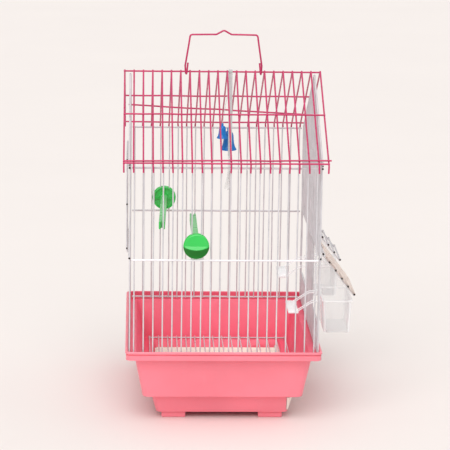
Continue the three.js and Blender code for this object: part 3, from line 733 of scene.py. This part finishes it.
def make_roof(wires, colours):
    rose = coated_wire("rose coated wire", colours.roof_wire, 0.28)
    ends = bare_end("cut wire end", colours.cut_end)
    thickness = wires.roof
    count = wires.roof_count
    long_wires = bmesh.new()
    rng = random.Random(5)
    for i in range(count):
        x = -ROOF_HALF_RUN + 2 * ROOF_HALF_RUN * i / (count - 1)
        lean = rng.uniform(-1, 1) * 0.5 * MM
        points = [
            Vector((MID_X + x + lean, -EAVE_Y - 0.8 * MM, FRONT_PRONG_Z)),
            on_slope(x, -EAVE_Y - 0.4 * MM, 0),
            on_slope(x, 0, 0) + Vector((0, 0, 0.6 * MM)),
            on_slope(x, EAVE_Y + 0.4 * MM, 0),
            Vector((MID_X + x - lean, EAVE_Y + 0.8 * MM, REAR_PRONG_Z)),
        ]
        add_wire(long_wires, rounded_path(points, 3.0 * MM, 6), thickness, 10)
        for left_x, left_y, right_x, right_y in CROSS_WIRES:
            share = (x / MM - left_x) / (right_x - left_x)
            y = (left_y + (right_y - left_y) * share) * MM
            if 0 <= share <= 1:
                add_weld(long_wires, on_slope(x, y, 0.8 * MM), thickness * 0.62)
    piece("roof_long_wires", long_wires, [rose], "roof", ["roof_front_slope", "roof_rear_slope"])
    cross_wires = bmesh.new()
    for i, (left_x, left_y, right_x, right_y) in enumerate(CROSS_WIRES):
        start = on_slope(left_x * MM, left_y * MM, 1.5 * MM)
        stop = on_slope(right_x * MM, right_y * MM, 1.5 * MM)
        add_wire(cross_wires, swaying(start, stop, wires.sway * 2, 40 + i, 10), thickness, 12, CUT_END)
    ridge_z = RIDGE_Z - 0.9 * MM
    ridge = swaying((ROOF_LOW.x + 0.2 * MM, 0, ridge_z), (MID_X + 116 * MM, 0, ridge_z), wires.sway, 77, 10)
    add_wire(cross_wires, ridge, thickness, 12, CUT_END)
    piece("roof_cross_wires", cross_wires, [rose, ends], "roof")


def make_handle(wires, colours):
    low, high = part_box("carrying_handle")
    rose = coated_wire("rose coated wire", colours.roof_wire, 0.28)
    ends = bare_end("cut wire end", colours.cut_end)
    hook = 3.6 * MM  # leaves room to swing round the ridge wire
    bar_z = RIDGE_Z + 43.2 * MM
    centre = (low.x + high.x) / 2
    foot = (high.x - low.x) / 2 - wires.handle / 2

    def leg(sign):
        """From the hook's tip, round the ridge wire and up to the bar."""
        x = [centre + sign * (foot - step * MM) for step in (3, 1.6, 0.5, 0, 4.4, 5.6)]
        return [
            Vector((x[0], -hook, RIDGE_Z + 10 * MM)), Vector((x[1], -hook, RIDGE_Z - hook)),
            Vector((x[2], hook, RIDGE_Z - hook)), Vector((x[3], hook * 0.8, RIDGE_Z + 6 * MM)),
            Vector((x[4], 0, RIDGE_Z + 34 * MM)), Vector((x[5], 0, bar_z - 0.4 * MM)),
        ]

    crest = [Vector((centre - 9 * MM, 0, bar_z)), Vector((centre, 0, high.z - wires.handle * 0.6)),
             Vector((centre + 9 * MM, 0, bar_z))]
    points = leg(-1) + [crest[0] - Vector((6 * MM, 0, 0))] + crest + [crest[2] + Vector((6 * MM, 0, 0))]
    points += list(reversed(leg(1)))
    bm = bmesh.new()
    add_wire(bm, rounded_path(points, 3.0 * MM, 6), wires.handle, 12, CUT_END)
    piece("handle_wire", bm, [rose, ends], "handle", ["carrying_handle"])


# ------------------------------------------------------------------ toy
BELLS = [("toy_bell_upper", 1.1 * MM), ("toy_bell_lower", 1.3 * MM)]  # (node, thickness of its wall)


BELL_OUTSIDE = [  # (share of the radius, share of the height) from the crown's knob down to the mouth
    (0, 0), (0.12, -0.005), (0.19, -0.04), (0.2, -0.1), (0.16, -0.15), (0.36, -0.19),
    (0.52, -0.25), (0.6, -0.36), (0.63, -0.52), (0.68, -0.68), (0.78, -0.83), (0.93, -0.94),
    (0.99, -0.965), (1.0, -0.985), (0.97, -1.0),
]
BAND_EYE = 2.8 * MM  # radius of the loop round the ridge wire
BAND_CLEAR_Z = RIDGE_Z - 99 * MM  # the band is frosted above this


def make_toy_band(frosted, clear):
    low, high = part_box("toy_strap")
    bm = bmesh.new()
    loop = []
    for i in range(15):
        angle = math.radians(-60 + 300 * i / 14)
        loop.append(Vector((0, math.cos(angle) * BAND_EYE, RIDGE_Z + math.sin(angle) * BAND_EYE)))
    band_y = low.y + 0.6 * MM
    down = [Vector((0, -1.9 * MM, RIDGE_Z - 7 * MM)), Vector((0, -6 * MM, RIDGE_Z - 26 * MM)),
            Vector((0, band_y + 0.8 * MM, RIDGE_Z - 45 * MM)), Vector((0, band_y, RIDGE_Z - 62 * MM)),
            Vector((0, band_y + 0.5 * MM, RIDGE_Z - 100 * MM)), Vector((0, band_y, low.z))]
    route = loop + down
    verts = [bm.verts.new(Vector((x, route[0].y, route[0].z))) for x in (low.x, high.x)]
    sweep_edge(bm, bm.edges.new(verts), route)
    tail_start = Vector((0, band_y + 1.0 * MM, RIDGE_Z - 118 * MM))
    tail_stop = Vector((-4.2 * MM, band_y + 2.2 * MM, low.z + 1 * MM))
    corners = [(low.x + 0.6 * MM, tail_start), (high.x - 0.6 * MM, tail_start),
               (high.x - 1.4 * MM, tail_stop), (low.x + 0.2 * MM, tail_stop)]
    bm.faces.new([bm.verts.new(Vector((x, 0, 0)) + place) for x, place in corners])
    for face in bm.faces:
        if face.calc_center_median().z < BAND_CLEAR_Z:
            face.material_index = 1
    bmesh.ops.solidify(bm, geom=bm.faces[:], thickness=0.5 * MM)
    piece("toy_band", bm, [frosted, clear], "toy", ["toy_strap"])


def make_toy_threads(clear):
    strap_low, strap_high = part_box("toy_strap")
    knot_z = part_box("toy_cords")[1].z - 0.6 * MM
    threads = bmesh.new()
    for node, _ in BELLS:
        bell_low, bell_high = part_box(node)
        crown = (bell_low + bell_high) / 2
        crown.z = bell_high.z - 0.5 * MM
        knot = Vector(((strap_low.x + strap_high.x) / 2, 1.2 * MM, knot_z))
        add_wire(threads, swaying(knot, crown, 0.5 * MM, 9, 6), 0.9 * MM, 8)
    piece("toy_threads", threads, [clear], "toy", ["toy_cords"])


def make_bell(node, wall, blue):
    low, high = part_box(node)
    radius = (high.x - low.x) / 2
    height = high.z - low.z
    profile = [(r * radius, z * height) for r, z in BELL_OUTSIDE]
    profile += [(radius * 0.97 - wall * 0.8, -height), (radius * 0.78 - wall, -height * 0.85),
                (radius * 0.68 - wall, -height * 0.66), (radius * 0.6 - wall, -height * 0.42),
                (radius * 0.42 - wall, -height * 0.34), (0, -height * 0.31)]
    crown = (low + high) / 2
    crown.z = high.z
    bm = bmesh.new()
    spun(bm, profile, Matrix.Translation(crown), 36)
    piece(node.replace("toy_bell", "bell"), bm, [blue], "toy", [node])


def make_toy(colours):
    clear = clear_plastic("clear thread", colours.clear, 0.5, 0.22)
    frosted = clear_plastic("frosted band", shaded(colours.clear, 0.9), 1.25, 0.4, 0.95)
    blue = moulded_plastic("blue moulded plastic", colours.bell, 0.22, soft=0.05)
    make_toy_band(frosted, clear)
    make_toy_threads(clear)
    for node, wall in BELLS:
        make_bell(node, wall, blue)


# ------------------------------------------------------------------ perches
KNOB_BACK = 0.9 * MM  # thickness left along the knob's foot
KNOB_FOOT = -0.84  # where the undercut ends, as a share of the radius
REAR_PERCH_SAG = (-4.6, -2.0)  # in mm: how far the loosely held rod's tip has moved across and up
PERCH_LENGTH = 160  # in mm, from the wall to the rod's tip
PERCH_WALL_Y = abs(FRONT_Y) - 1.3 * MM  # inner face of the wall that holds a perch
PERCH_HALF_WIDTH = 3.7 * MM
PERCH_HALF_HEIGHT = 4.5 * MM
PLATE_THICKNESS = 3.2 * MM
UNDERCUT_SHADE_SHARES = (0.1, 0.32, 0.12)  # painted shade: the knob's shaded underside takes a deeper green copy of the perch colour


def knob_lip(u):
    return -0.03 - 0.22 * (1 - u * u)


def knob_height(u, v, rim_height, full):
    """Height of the knob's face at (u, v), each from -1 to 1. Its upper half slopes out to a shelf,
    and under the shelf's curved lip it is undercut down to a thin foot."""
    round_off = max(0.0, 1 - u * u) ** 0.35
    lip = knob_lip(u)
    rise = full - rim_height
    if v > 0.05:
        return rim_height + rise * round_off * (0.12 + 0.38 * max(0.0, (0.95 - v) / 0.9) ** 0.85)
    if v > lip:
        return rim_height + rise * round_off * (0.5 + 0.5 * (0.05 - v) / (0.05 - lip))
    crest = rim_height + rise * round_off
    return max(KNOB_BACK, KNOB_BACK + (crest - KNOB_BACK) * (v - KNOB_FOOT) / (lip - KNOB_FOOT))


def sag_matrix(side):
    """Shear that moves the rear rod's tip by its sag and leaves its wall end in place."""
    across, up = (-side * shift / PERCH_LENGTH for shift in REAR_PERCH_SAG)
    wall_y = side * abs(FRONT_Y)
    return Matrix(((1, across, 0, -across * wall_y), (0, 1, 0, 0), (0, up, 1, -up * wall_y), (0, 0, 0, 1)))


def make_perch_bar(name, side, pale, green):
    """H section with ribs across its hollow flanks, a forked nose and a stub between the wall's wires."""
    low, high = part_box(f"{name}_rod")
    centre = (low + high) / 2
    wide = PERCH_HALF_WIDTH
    tall = PERCH_HALF_HEIGHT
    tip = PERCH_WALL_Y - PERCH_LENGTH * MM
    root = PERCH_WALL_Y - PLATE_THICKNESS + 0.5 * MM
    bm = bmesh.new()

    def block(x0, x1, y0, y1, z0, z1, bevel=0.4 * MM, tint=0):
        ys = sorted((side * y0, side * y1))
        start = len(bm.faces)
        add_block(bm, (centre.x + x0, ys[0], centre.z + z0), (centre.x + x1, ys[1], centre.z + z1), bevel)
        colour_faces_from(bm, start, tint)

    web = 1.0 * MM
    block(-wide, wide, tip + 9 * MM, root, 2.4 * MM, tall, 0.7 * MM)
    block(-wide, wide, tip + 9 * MM, root, -tall, -2.6 * MM, 0.7 * MM)
    block(-web, web, tip + 10 * MM, root, -3.4 * MM, 3.4 * MM, 0)
    for i in range(9):
        y = tip + 15 * MM + i * 15.5 * MM
        block(0.3 * MM - wide, wide - 0.3 * MM, y, y + 1.4 * MM, -3.2 * MM, 3.2 * MM, 0)
    block(-wide, wide, tip + 7.5 * MM, tip + 13 * MM, -tall, tall, 0.6 * MM)
    for x0, x1 in ((-wide, -1.3 * MM), (1.3 * MM, wide)):
        block(x0, x1, tip, tip + 3 * MM, -tall, tall, 0.9 * MM, 1)
        block(x0, x1, tip + 1.5 * MM, tip + 9 * MM, -tall, tall, 0.6 * MM)
    block(-wide, wide, PERCH_WALL_Y - 1 * MM, PERCH_WALL_Y + 2.4 * MM, -tall, tall, 0.4 * MM, 1)
    if side > 0:
        bm.transform(sag_matrix(side))
    piece(f"{name}_bar", bm, [pale, green], "cage")


def make_perch_plate(name, side, green):
    """Round flange inside the wall, with a rim, a boss and four ribs."""
    low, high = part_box(f"{name}_rod")
    centre = (low + high) / 2
    disc = (high.x - low.x) / 2
    facing = Matrix.Rotation(math.radians(90 * side), 4, "X")  # spin axis from +Z to the inside of the cage
    place = Matrix.Translation((centre.x, side * PERCH_WALL_Y, centre.z)) @ facing
    profile = [(0, 0), (disc - 0.4 * MM, 0), (disc, 0.4 * MM), (disc, 2.8 * MM),
               (disc - 0.4 * MM, PLATE_THICKNESS), (disc - 1.4 * MM, PLATE_THICKNESS),
               (disc - 1.8 * MM, 0.9 * MM), (6.2 * MM, 0.9 * MM),
               (5.8 * MM, PLATE_THICKNESS), (0, PLATE_THICKNESS)]
    plate = bmesh.new()
    spun(plate, profile, place, 48)
    for i in range(4):
        rib = bmesh.new()
        add_block(rib, (5.4 * MM, -0.6 * MM, 0.6 * MM), (disc - 1.2 * MM, 0.6 * MM, 3.0 * MM), 0.2 * MM)
        absorb(plate, rib, place @ Matrix.Rotation(math.tau * i / 4, 4, "Z"))
    piece(f"{name}_plate", plate, [green], "cage", [f"{name}_rod"])


def make_perch_knob(name, side, green, painted_shade_material):
    """Round knob outside the wall, whose face knob_height shapes."""
    rod_low, rod_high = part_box(f"{name}_rod")
    low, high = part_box(f"{name}_knob")
    centre = (rod_low + rod_high) / 2
    inner = low.y if side > 0 else high.y
    disc = (high.x - low.x) / 2
    rim = disc - 0.8 * MM
    thick = 2.3 * MM
    full = high.y - low.y
    edge = [(0, 0), (disc - 0.5 * MM, 0), (disc, 0.5 * MM), (disc, thick - 0.6 * MM),
            (disc - 0.3 * MM, thick)]
    face = [(rim * step / 24, thick) for step in range(24, -1, -1)]
    knob = bmesh.new()
    spun(knob, edge + face, Matrix.Identity(4), 96)
    for vert in knob.verts:
        u, v = vert.co.x / rim, -side * vert.co.y / rim
        face_height = knob_height(u, v, thick, full)
        on_face = vert.co.z > thick - 1e-6 and vert.co.xy.length < rim
        if on_face or vert.co.z > face_height:
            vert.co.z = face_height
    bmesh.ops.recalc_face_normals(knob, faces=knob.faces)
    # painted shade: upward faces under the lip take the darker green copy
    for face in knob.faces:
        middle_v = -side * face.calc_center_median().y / rim
        middle_u = face.calc_center_median().x / rim
        if face.normal.z > 0.2 and middle_v < knob_lip(middle_u):
            face.material_index = 1
    outside = Matrix.Rotation(math.radians(-90 * side), 4, "X")
    knob.transform(Matrix.Translation((centre.x, inner, centre.z)) @ outside)
    body = name.replace("perch", "knob")
    piece(f"{name}_cap", knob, [green, painted_shade_material], body, [f"{name}_knob"], sharp=50)


def make_perch(name, side, colours):
    """side is -1 for the perch on the front wall and 1 for the one on the rear wall."""
    green = moulded_plastic("green moulded plastic", colours.perch, 0.2, soft=0.1)
    pale = moulded_plastic("pale green rod", tuple(c * 0.78 + 0.17 for c in colours.perch), 0.3, soft=0.2)
    # painted shade: a darker green copy of the perch colour for the knob's underside
    undercut = tinted(colours.perch, UNDERCUT_SHADE_SHARES)
    painted_shade_material = moulded_plastic("green moulded plastic with painted undercut shade", undercut, 0.75)
    make_perch_bar(name, side, pale, green)
    make_perch_plate(name, side, green)
    make_perch_knob(name, side, green, painted_shade_material)


# ------------------------------------------------------------------ feeders
FLAP_ANGLE = math.radians(37.8)  # from upright to the flap's slope
FLAP_PITCH = 12 * MM
FLAP_WIRES = 6
FLAP_TIE_Y = 39 * MM  # from the flap's middle to each of its two ties
FLAP_DOWN = Vector((math.sin(FLAP_ANGLE), 0, -math.cos(FLAP_ANGLE)))
FLAP_OFF = Vector((math.cos(FLAP_ANGLE), 0, math.sin(FLAP_ANGLE)))
GUARD_HALF = 40.8 * MM
GUARD_OUTLINE = [(3.5, 1.4), (30, 1.8), (54, 1.6), (58, 1.4), (61.0, 1.2)]  # mm down the slope, mm off it
COVER_THICKNESS = 1.3 * MM
STEP_SPREAD = 23 * MM  # from the feeder's middle to each arm of its step


def make_flap_guard(hinge, y_mid, material):
    """Thin tinted guard that lies on the flap's wires, with its rim folded down round the ends."""
    bm = bmesh.new()
    route = [hinge + FLAP_DOWN * along * MM + FLAP_OFF * lift * MM for along, lift in GUARD_OUTLINE]
    verts = [bm.verts.new((route[0].x, y_mid + sign * GUARD_HALF, route[0].z)) for sign in (-1, 1)]
    sweep_edge(bm, bm.edges.new(verts), route)
    folds = [e for e in bm.edges if len(e.link_faces) == 1 and abs(e.verts[0].co.y - e.verts[1].co.y) < 1e-6]
    made = bmesh.ops.extrude_edge_only(bm, edges=folds)["geom"]
    bmesh.ops.translate(bm, vec=FLAP_OFF * -2.4 * MM, verts=verts_in(made))
    bmesh.ops.solidify(bm, geom=bm.faces[:], thickness=0.3 * MM)
    piece("front_flap_guard", bm, [material], "front_flap")


def make_flap_wires(end, hinge, wires, colours):
    """Wires along the cage with bare ends, and two ties down the slope, under them."""
    low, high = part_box(f"{end}_flap_grille")
    half = (high.y - low.y) / 2
    bare = 1.1 * MM
    bm = bmesh.new()
    for i in range(FLAP_WIRES):
        point = hinge + FLAP_DOWN * i * FLAP_PITCH
        ends = [point - Vector((0, half - bare, 0)), point + Vector((0, half - bare, 0))]
        add_wire(bm, swaying(*ends, wires.sway, 500 + i), 2.1 * MM, 12)
        for sign in (-1, 1):
            inner = point + Vector((0, sign * (half - bare - 0.1 * MM), 0))
            outer = point + Vector((0, sign * half, 0))
            start = len(bm.faces)
            add_wire(bm, [inner, inner.lerp(outer, 0.75), outer], 2.3 * MM, 12, CUT_END)
            colour_faces_from(bm, start, CUT_END)
    reach = (FLAP_WIRES - 1) * FLAP_PITCH
    for offset in (-FLAP_TIE_Y, FLAP_TIE_Y):
        start = hinge + Vector((0, offset, 0)) - FLAP_OFF * 1.1 * MM
        add_wire(bm, [start, start + FLAP_DOWN * (reach + 1.2 * MM)], 1.7 * MM, 10)
        for i in range(FLAP_WIRES):
            add_weld(bm, start + FLAP_DOWN * i * FLAP_PITCH + FLAP_OFF * 0.6 * MM, 1.2 * MM)
    piece(f"{end}_flap_wires", bm, wire_materials(colours)[:2], f"{end}_flap",
          [f"{end}_flap_grille"])


def make_flap_cover(end, hinge, y_mid, clear, sheet_clear, amber):
    """Sloping cover sheet and its two cheeks, and on the front flap a guard over the wires."""
    low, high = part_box(f"{end}_flap_cover")
    half = (high.y - low.y) / 2
    under = FLAP_OFF * -1.35 * MM
    top_edge = hinge + under + FLAP_DOWN * 8 * MM
    low_edge = hinge + under + FLAP_DOWN * 57 * MM
    sheet = bmesh.new()
    corners = [(top_edge, -1), (top_edge, 1), (low_edge, 1), (low_edge, -1)]
    sheet.faces.new([sheet.verts.new((edge.x, y_mid + sign * half, edge.z)) for edge, sign in corners])
    bmesh.ops.solidify(sheet, geom=sheet.faces[:], thickness=COVER_THICKNESS)
    piece(f"{end}_cover_sheet", sheet, [sheet_clear], f"{end}_flap", [f"{end}_flap_cover"],
          bevel=0.35 * MM)
    if end == "front":
        make_flap_guard(hinge, y_mid, amber)
    cheeks = bmesh.new()
    for sign in (-1, 1):
        y = y_mid + sign * (half - COVER_THICKNESS)
        wedge = [top_edge + under * 0.9, Vector((top_edge.x - 0.6 * MM, 0, low.z)),
                 Vector((low_edge.x - 3 * MM, 0, low.z)), low_edge + under * 0.9]
        face = cheeks.faces.new([cheeks.verts.new((p.x, y, p.z)) for p in wedge])
        extrude_face(cheeks, face, (0, sign * COVER_THICKNESS, 0))
    piece(f"{end}_cover_cheeks", cheeks, [clear], f"{end}_flap", bevel=0.3 * MM)


def make_cup(end, y_mid, clear, painted_highlight_styrene):
    """Open cup, tapered, with a rolled rim. Its rim, foot and corners take a denser, glowing styrene:
    painted highlight where they catch the light.
    """
    low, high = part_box(f"{end}_feeder_cup")
    half_x = (high.x - low.x) / 2
    half_y = (high.y - low.y) / 2
    top, bottom = high.z, low.z
    taper = 2.2 * MM
    wall = 1.4 * MM
    sides = [  # (in from the rim, corner radius, z)
        (taper + 1.6 * MM, 3.4 * MM, bottom), (taper + 0.4 * MM, 4.6 * MM, bottom + 0.5 * MM),
        (taper, 5 * MM, bottom + 1.8 * MM), (1.0 * MM, 4.4 * MM, top - 2.6 * MM),
        (0, 5.4 * MM, top - 2.0 * MM), (0, 5.4 * MM, top - 0.4 * MM), (0.4 * MM, 5 * MM, top),
        (wall + 0.7 * MM, 3.4 * MM, top), (wall + 1.1 * MM, 3.2 * MM, top - 0.5 * MM),
        (taper + wall, 3.6 * MM, bottom + wall + 2 * MM),
        (taper + wall + 1.6 * MM, 2.4 * MM, bottom + wall)]
    rings = [(half_x - inset, half_y - inset, radius, z) for inset, radius, z in sides]
    cup = rounded_loft(rings, ((low.x + high.x) / 2, y_mid), 6)
    bmesh.ops.recalc_face_normals(cup, faces=cup.faces)
    # painted highlight: rim, foot and corner faces take the denser, glowing styrene
    for face in cup.faces:
        z = face.calc_center_median().z
        upright = abs(face.normal.z) < 0.3
        corner = upright and abs(abs(face.normal.x) - abs(face.normal.y)) < 0.2
        foot = z < bottom + 0.6 * MM and abs(face.normal.z) < 0.9
        if corner or foot or z > top - 1.6 * MM:
            face.material_index = 1
    piece(f"{end}_cup", cup, [clear, painted_highlight_styrene], f"{end}_feeder", [f"{end}_feeder_cup"])


def make_step(end, y_mid, clear, painted_highlight_styrene):
    """Landing step: two arms, each a shallow channel with a hook for the cup, and a ribbed pad."""
    low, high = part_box(f"{end}_feeder_step")
    cup_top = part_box(f"{end}_feeder_cup")[1].z
    rim_z = cup_top - 3.5 * MM
    step = bmesh.new()
    for sign in (-1, 1):
        y = y_mid + sign * STEP_SPREAD
        route = [(high.x - 0.1 * MM, 0, rim_z), (MID_X + 102.5 * MM, 0, rim_z),
                 (MID_X + 84 * MM, 0, 128.8 * MM)]
        for lift in (-1.1, 1.1):  # the channel's two ribs
            shift = Vector((0, y, lift * MM))
            add_wire(step, [point + shift for point in rounded_path(route, 4 * MM, 4)], 1.1 * MM, 8)
        web = [step.verts.new(Vector(point) + Vector((0, y, lift * MM)))
               for lift, line in ((-1.1, route), (1.1, route[::-1])) for point in line]
        face = step.faces.new(web)
        made = extrude_face(step, face, (0, 0.5 * MM, 0))
        for wall in [face] + faces_in(made):
            wall.material_index = 1
        add_block(step, (high.x - 1.3 * MM, y - 2.2 * MM, rim_z - 3 * MM),
                  (high.x, y + 2.2 * MM, cup_top - 0.2 * MM), 0.4 * MM)
    pad_high = Vector((low.x + 12 * MM, high.y, low.z + 3.1 * MM))
    add_block(step, low, pad_high, 1.2 * MM, 4)
    for i in range(3):
        x = low.x + (2.6 + 3.4 * i) * MM
        add_block(step, (x - 0.5 * MM, low.y + 2 * MM, pad_high.z - 0.3 * MM),
                  (x + 0.5 * MM, high.y - 2 * MM, pad_high.z + 0.3 * MM), 0.15 * MM)
    # painted highlight: the step's ribs, hooks and pad take the denser, glowing styrene; the webs stay clear
    piece(f"{end}_step", step, [painted_highlight_styrene, clear], f"{end}_feeder", [f"{end}_feeder_step"])


def make_feeder(end, wires, colours):
    """end is front or rear."""
    clear = clear_plastic("clear styrene", colours.clear, 0.17, 0.08, 0.8, 0.05, 0.8)
    # painted highlight: a denser, glowing copy of the clear styrene for the cups' edges and the steps
    painted_highlight_styrene = clear_plastic("clear styrene with painted highlight", colours.clear, 0.9, 0.15, 0.95, 0.12, 0.97)
    amber = clear_plastic("amber guard", srgb(242, 216, 198), 0.42, 0.2, 0.5)
    sheet_clear = clear_plastic("clear cover sheet", colours.clear, 0.08, 0.08, 0.16)
    flap_low, flap_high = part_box(f"{end}_flap_grille")
    y_mid = (flap_low.y + flap_high.y) / 2
    hinge = Vector((RIGHT_X + 4.3 * MM, y_mid, SIDE_MID_RAIL_Z + 3.2 * MM))
    make_flap_wires(end, hinge, wires, colours)
    make_flap_cover(end, hinge, y_mid, clear, sheet_clear, amber)
    make_cup(end, y_mid, clear, painted_highlight_styrene)
    make_step(end, y_mid, clear, painted_highlight_styrene)


# ------------------------------------------------------------------ stage
CAMERA_PLACE = Vector((-118.8, -2508.9, 740.6)) * MM
CAMERA_PITCH = 0.2094  # radians down from level
CAMERA_YAW = -0.0426
CAMERA_ROLL = 0.0141
CAMERA_LENS = 171.2  # mm on a 36 mm sensor


def make_stage(colours):
    scene = bpy.context.scene
    scene.view_settings.view_transform = "Standard"
    bm = bmesh.new()
    bmesh.ops.create_grid(bm, x_segments=1, y_segments=1, size=6.0)
    mesh = bpy.data.meshes.new("floor")
    bm.to_mesh(mesh)
    bm.free()
    mesh.materials.append(painted_floor("pale floor", colours.floor))
    floor = bpy.data.objects.new("floor", mesh)
    scene.collection.objects.link(floor)

    world = bpy.data.worlds.new("studio")
    world.use_nodes = True
    world.node_tree.nodes["Background"].inputs["Color"].default_value = (1.0, 0.99, 0.98, 1)
    world.node_tree.nodes["Background"].inputs["Strength"].default_value = 0.5
    scene.world = world
    for name, toward, softness, power in (  # direction the light comes from
            ("key", (-0.2, -0.85, 0.95), 55, 1.95), ("overhead", (0.15, 0.1, 1.0), 80, 0.75)):
        light = bpy.data.lights.new(name, "SUN")
        light.angle = math.radians(softness)
        light.energy = power
        light.color = (1.0, 0.985, 0.97)
        lamp = bpy.data.objects.new(name, light)
        lamp.rotation_euler = Vector(toward).to_track_quat("Z", "Y").to_euler()
        scene.collection.objects.link(lamp)

    lens = bpy.data.cameras.new("camera")
    lens.lens = CAMERA_LENS
    lens.sensor_width = 36
    lens.clip_end = 50
    camera = bpy.data.objects.new("camera", lens)
    tilt = Matrix.Rotation(math.radians(90) - CAMERA_PITCH, 4, "X")
    turn = Matrix.Rotation(CAMERA_YAW, 4, "Z")
    roll = Matrix.Rotation(CAMERA_ROLL, 4, "Z")
    camera.matrix_world = Matrix.Translation(CAMERA_PLACE) @ turn @ tilt @ roll
    scene.collection.objects.link(camera)
    scene.camera = camera


# ------------------------------------------------------------------ operators
def settings():
    scene = bpy.context.scene
    return scene.cage_wires, scene.cage_colours


class CageOperator:
    """What the cage's operators share"""
    bl_options = {"REGISTER", "UNDO"}


class CAGE_OT_stage(CageOperator, bpy.types.Operator):
    """Floor, soft lights and camera"""
    bl_idname = "cage.stage"
    bl_label = "Stage"

    def execute(self, context):
        make_stage(settings()[1])
        return {"FINISHED"}


class CAGE_OT_base_tub(CageOperator, bpy.types.Operator):
    """Moulded tub with its rim, plinth and feet"""
    bl_idname = "cage.base_tub"
    bl_label = "Base tub"

    def execute(self, context):
        make_base_tub(settings()[1])
        return {"FINISHED"}


class CAGE_OT_drawer(CageOperator, bpy.types.Operator):
    """Litter drawer in the plinth"""
    bl_idname = "cage.drawer"
    bl_label = "Litter drawer"

    def execute(self, context):
        make_drawer(settings()[1])
        return {"FINISHED"}


class CAGE_OT_floor_grid(CageOperator, bpy.types.Operator):
    """Wire floor over the litter well"""
    bl_idname = "cage.floor_grid"
    bl_label = "Wire floor"

    def execute(self, context):
        make_floor_grid(*settings())
        return {"FINISHED"}


class CAGE_OT_end_walls(CageOperator, bpy.types.Operator):
    """Front and rear wire walls"""
    bl_idname = "cage.end_walls"
    bl_label = "Front and rear walls"

    def execute(self, context):
        wires, colours = settings()
        make_end_wall("front_wall_wires", "front_wall", FRONT_Y, -1, wires, colours)
        make_end_wall("rear_wall_wires", "rear_wall", REAR_Y, 1, wires, colours)
        return {"FINISHED"}


class CAGE_OT_gable_walls(CageOperator, bpy.types.Operator):
    """House-shaped side walls, with the feeder holes and the door hole"""
    bl_idname = "cage.gable_walls"
    bl_label = "Gable walls"

    def execute(self, context):
        wires, colours = settings()
        feeder_holes = [(first, first + 7, FEEDER_SILL_Z, SIDE_MID_RAIL_Z, FEEDER_SILL_Z)
                        for first in (1, 17)]
        door_hole = [(7, 18, SIDE_MID_RAIL_Z, DOOR_LINTEL_Z, DOOR_LINTEL_Z)]
        make_gable_wall("right_gable_wires", RIGHT_PANELS, feeder_holes, wires, colours)
        make_gable_wall("left_gable_wires", LEFT_PANELS, door_hole, wires, colours)
        return {"FINISHED"}


class CAGE_OT_side_door(CageOperator, bpy.types.Operator):
    """Sliding wire door on the left wall"""
    bl_idname = "cage.side_door"
    bl_label = "Side door"

    def execute(self, context):
        make_side_door(*settings())
        return {"FINISHED"}


class CAGE_OT_roof(CageOperator, bpy.types.Operator):
    """Gabled wire roof"""
    bl_idname = "cage.roof"
    bl_label = "Roof"

    def execute(self, context):
        make_roof(*settings())
        return {"FINISHED"}


class CAGE_OT_handle(CageOperator, bpy.types.Operator):
    """Carrying handle hooked on the ridge wire"""
    bl_idname = "cage.handle"
    bl_label = "Carrying handle"

    def execute(self, context):
        make_handle(*settings())
        return {"FINISHED"}


class CAGE_OT_toy(CageOperator, bpy.types.Operator):
    """Two bells on threads, with the clear band that holds them"""
    bl_idname = "cage.toy"
    bl_label = "Bell toy"

    def execute(self, context):
        make_toy(settings()[1])
        return {"FINISHED"}


class CAGE_OT_perches(CageOperator, bpy.types.Operator):
    """Two perches with their knobs"""
    bl_idname = "cage.perches"
    bl_label = "Perches"

    def execute(self, context):
        make_perch("front_perch", -1, settings()[1])
        make_perch("rear_perch", 1, settings()[1])
        return {"FINISHED"}


class CAGE_OT_feeders(CageOperator, bpy.types.Operator):
    """Clear cups with landing steps, covers and wire flaps"""
    bl_idname = "cage.feeders"
    bl_label = "Feeders"

    def execute(self, context):
        for end in ("front", "rear"):
            make_feeder(end, *settings())
        return {"FINISHED"}


STEPS = (CAGE_OT_stage, CAGE_OT_base_tub, CAGE_OT_drawer, CAGE_OT_floor_grid, CAGE_OT_end_walls,
         CAGE_OT_gable_walls, CAGE_OT_side_door, CAGE_OT_roof, CAGE_OT_handle, CAGE_OT_toy,
         CAGE_OT_perches, CAGE_OT_feeders)


class CAGE_PT_panel(bpy.types.Panel):
    """Lists the cage's steps and settings"""
    bl_idname = "CAGE_PT_panel"
    bl_label = "Bird cage"
    bl_space_type = "VIEW_3D"
    bl_region_type = "UI"
    bl_category = "Bird cage"

    def draw(self, context):
        for step in STEPS:
            self.layout.operator(step.bl_idname)
        for group in settings():
            for name in group.__annotations__:
                self.layout.prop(group, name)


CLASSES = (CageWires, CageColours, *STEPS, CAGE_PT_panel)


def register():
    for cls in CLASSES:
        bpy.utils.register_class(cls)
    bpy.types.Scene.cage_wires = bpy.props.PointerProperty(type=CageWires)
    bpy.types.Scene.cage_colours = bpy.props.PointerProperty(type=CageColours)


def unregister():
    del bpy.types.Scene.cage_wires
    del bpy.types.Scene.cage_colours
    for cls in reversed(CLASSES):
        bpy.utils.unregister_class(cls)


def main():
    register()
    for step in STEPS:
        group, name = step.bl_idname.split(".")
        getattr(getattr(bpy.ops, group), name)()


if __name__ == "__main__":
    main()
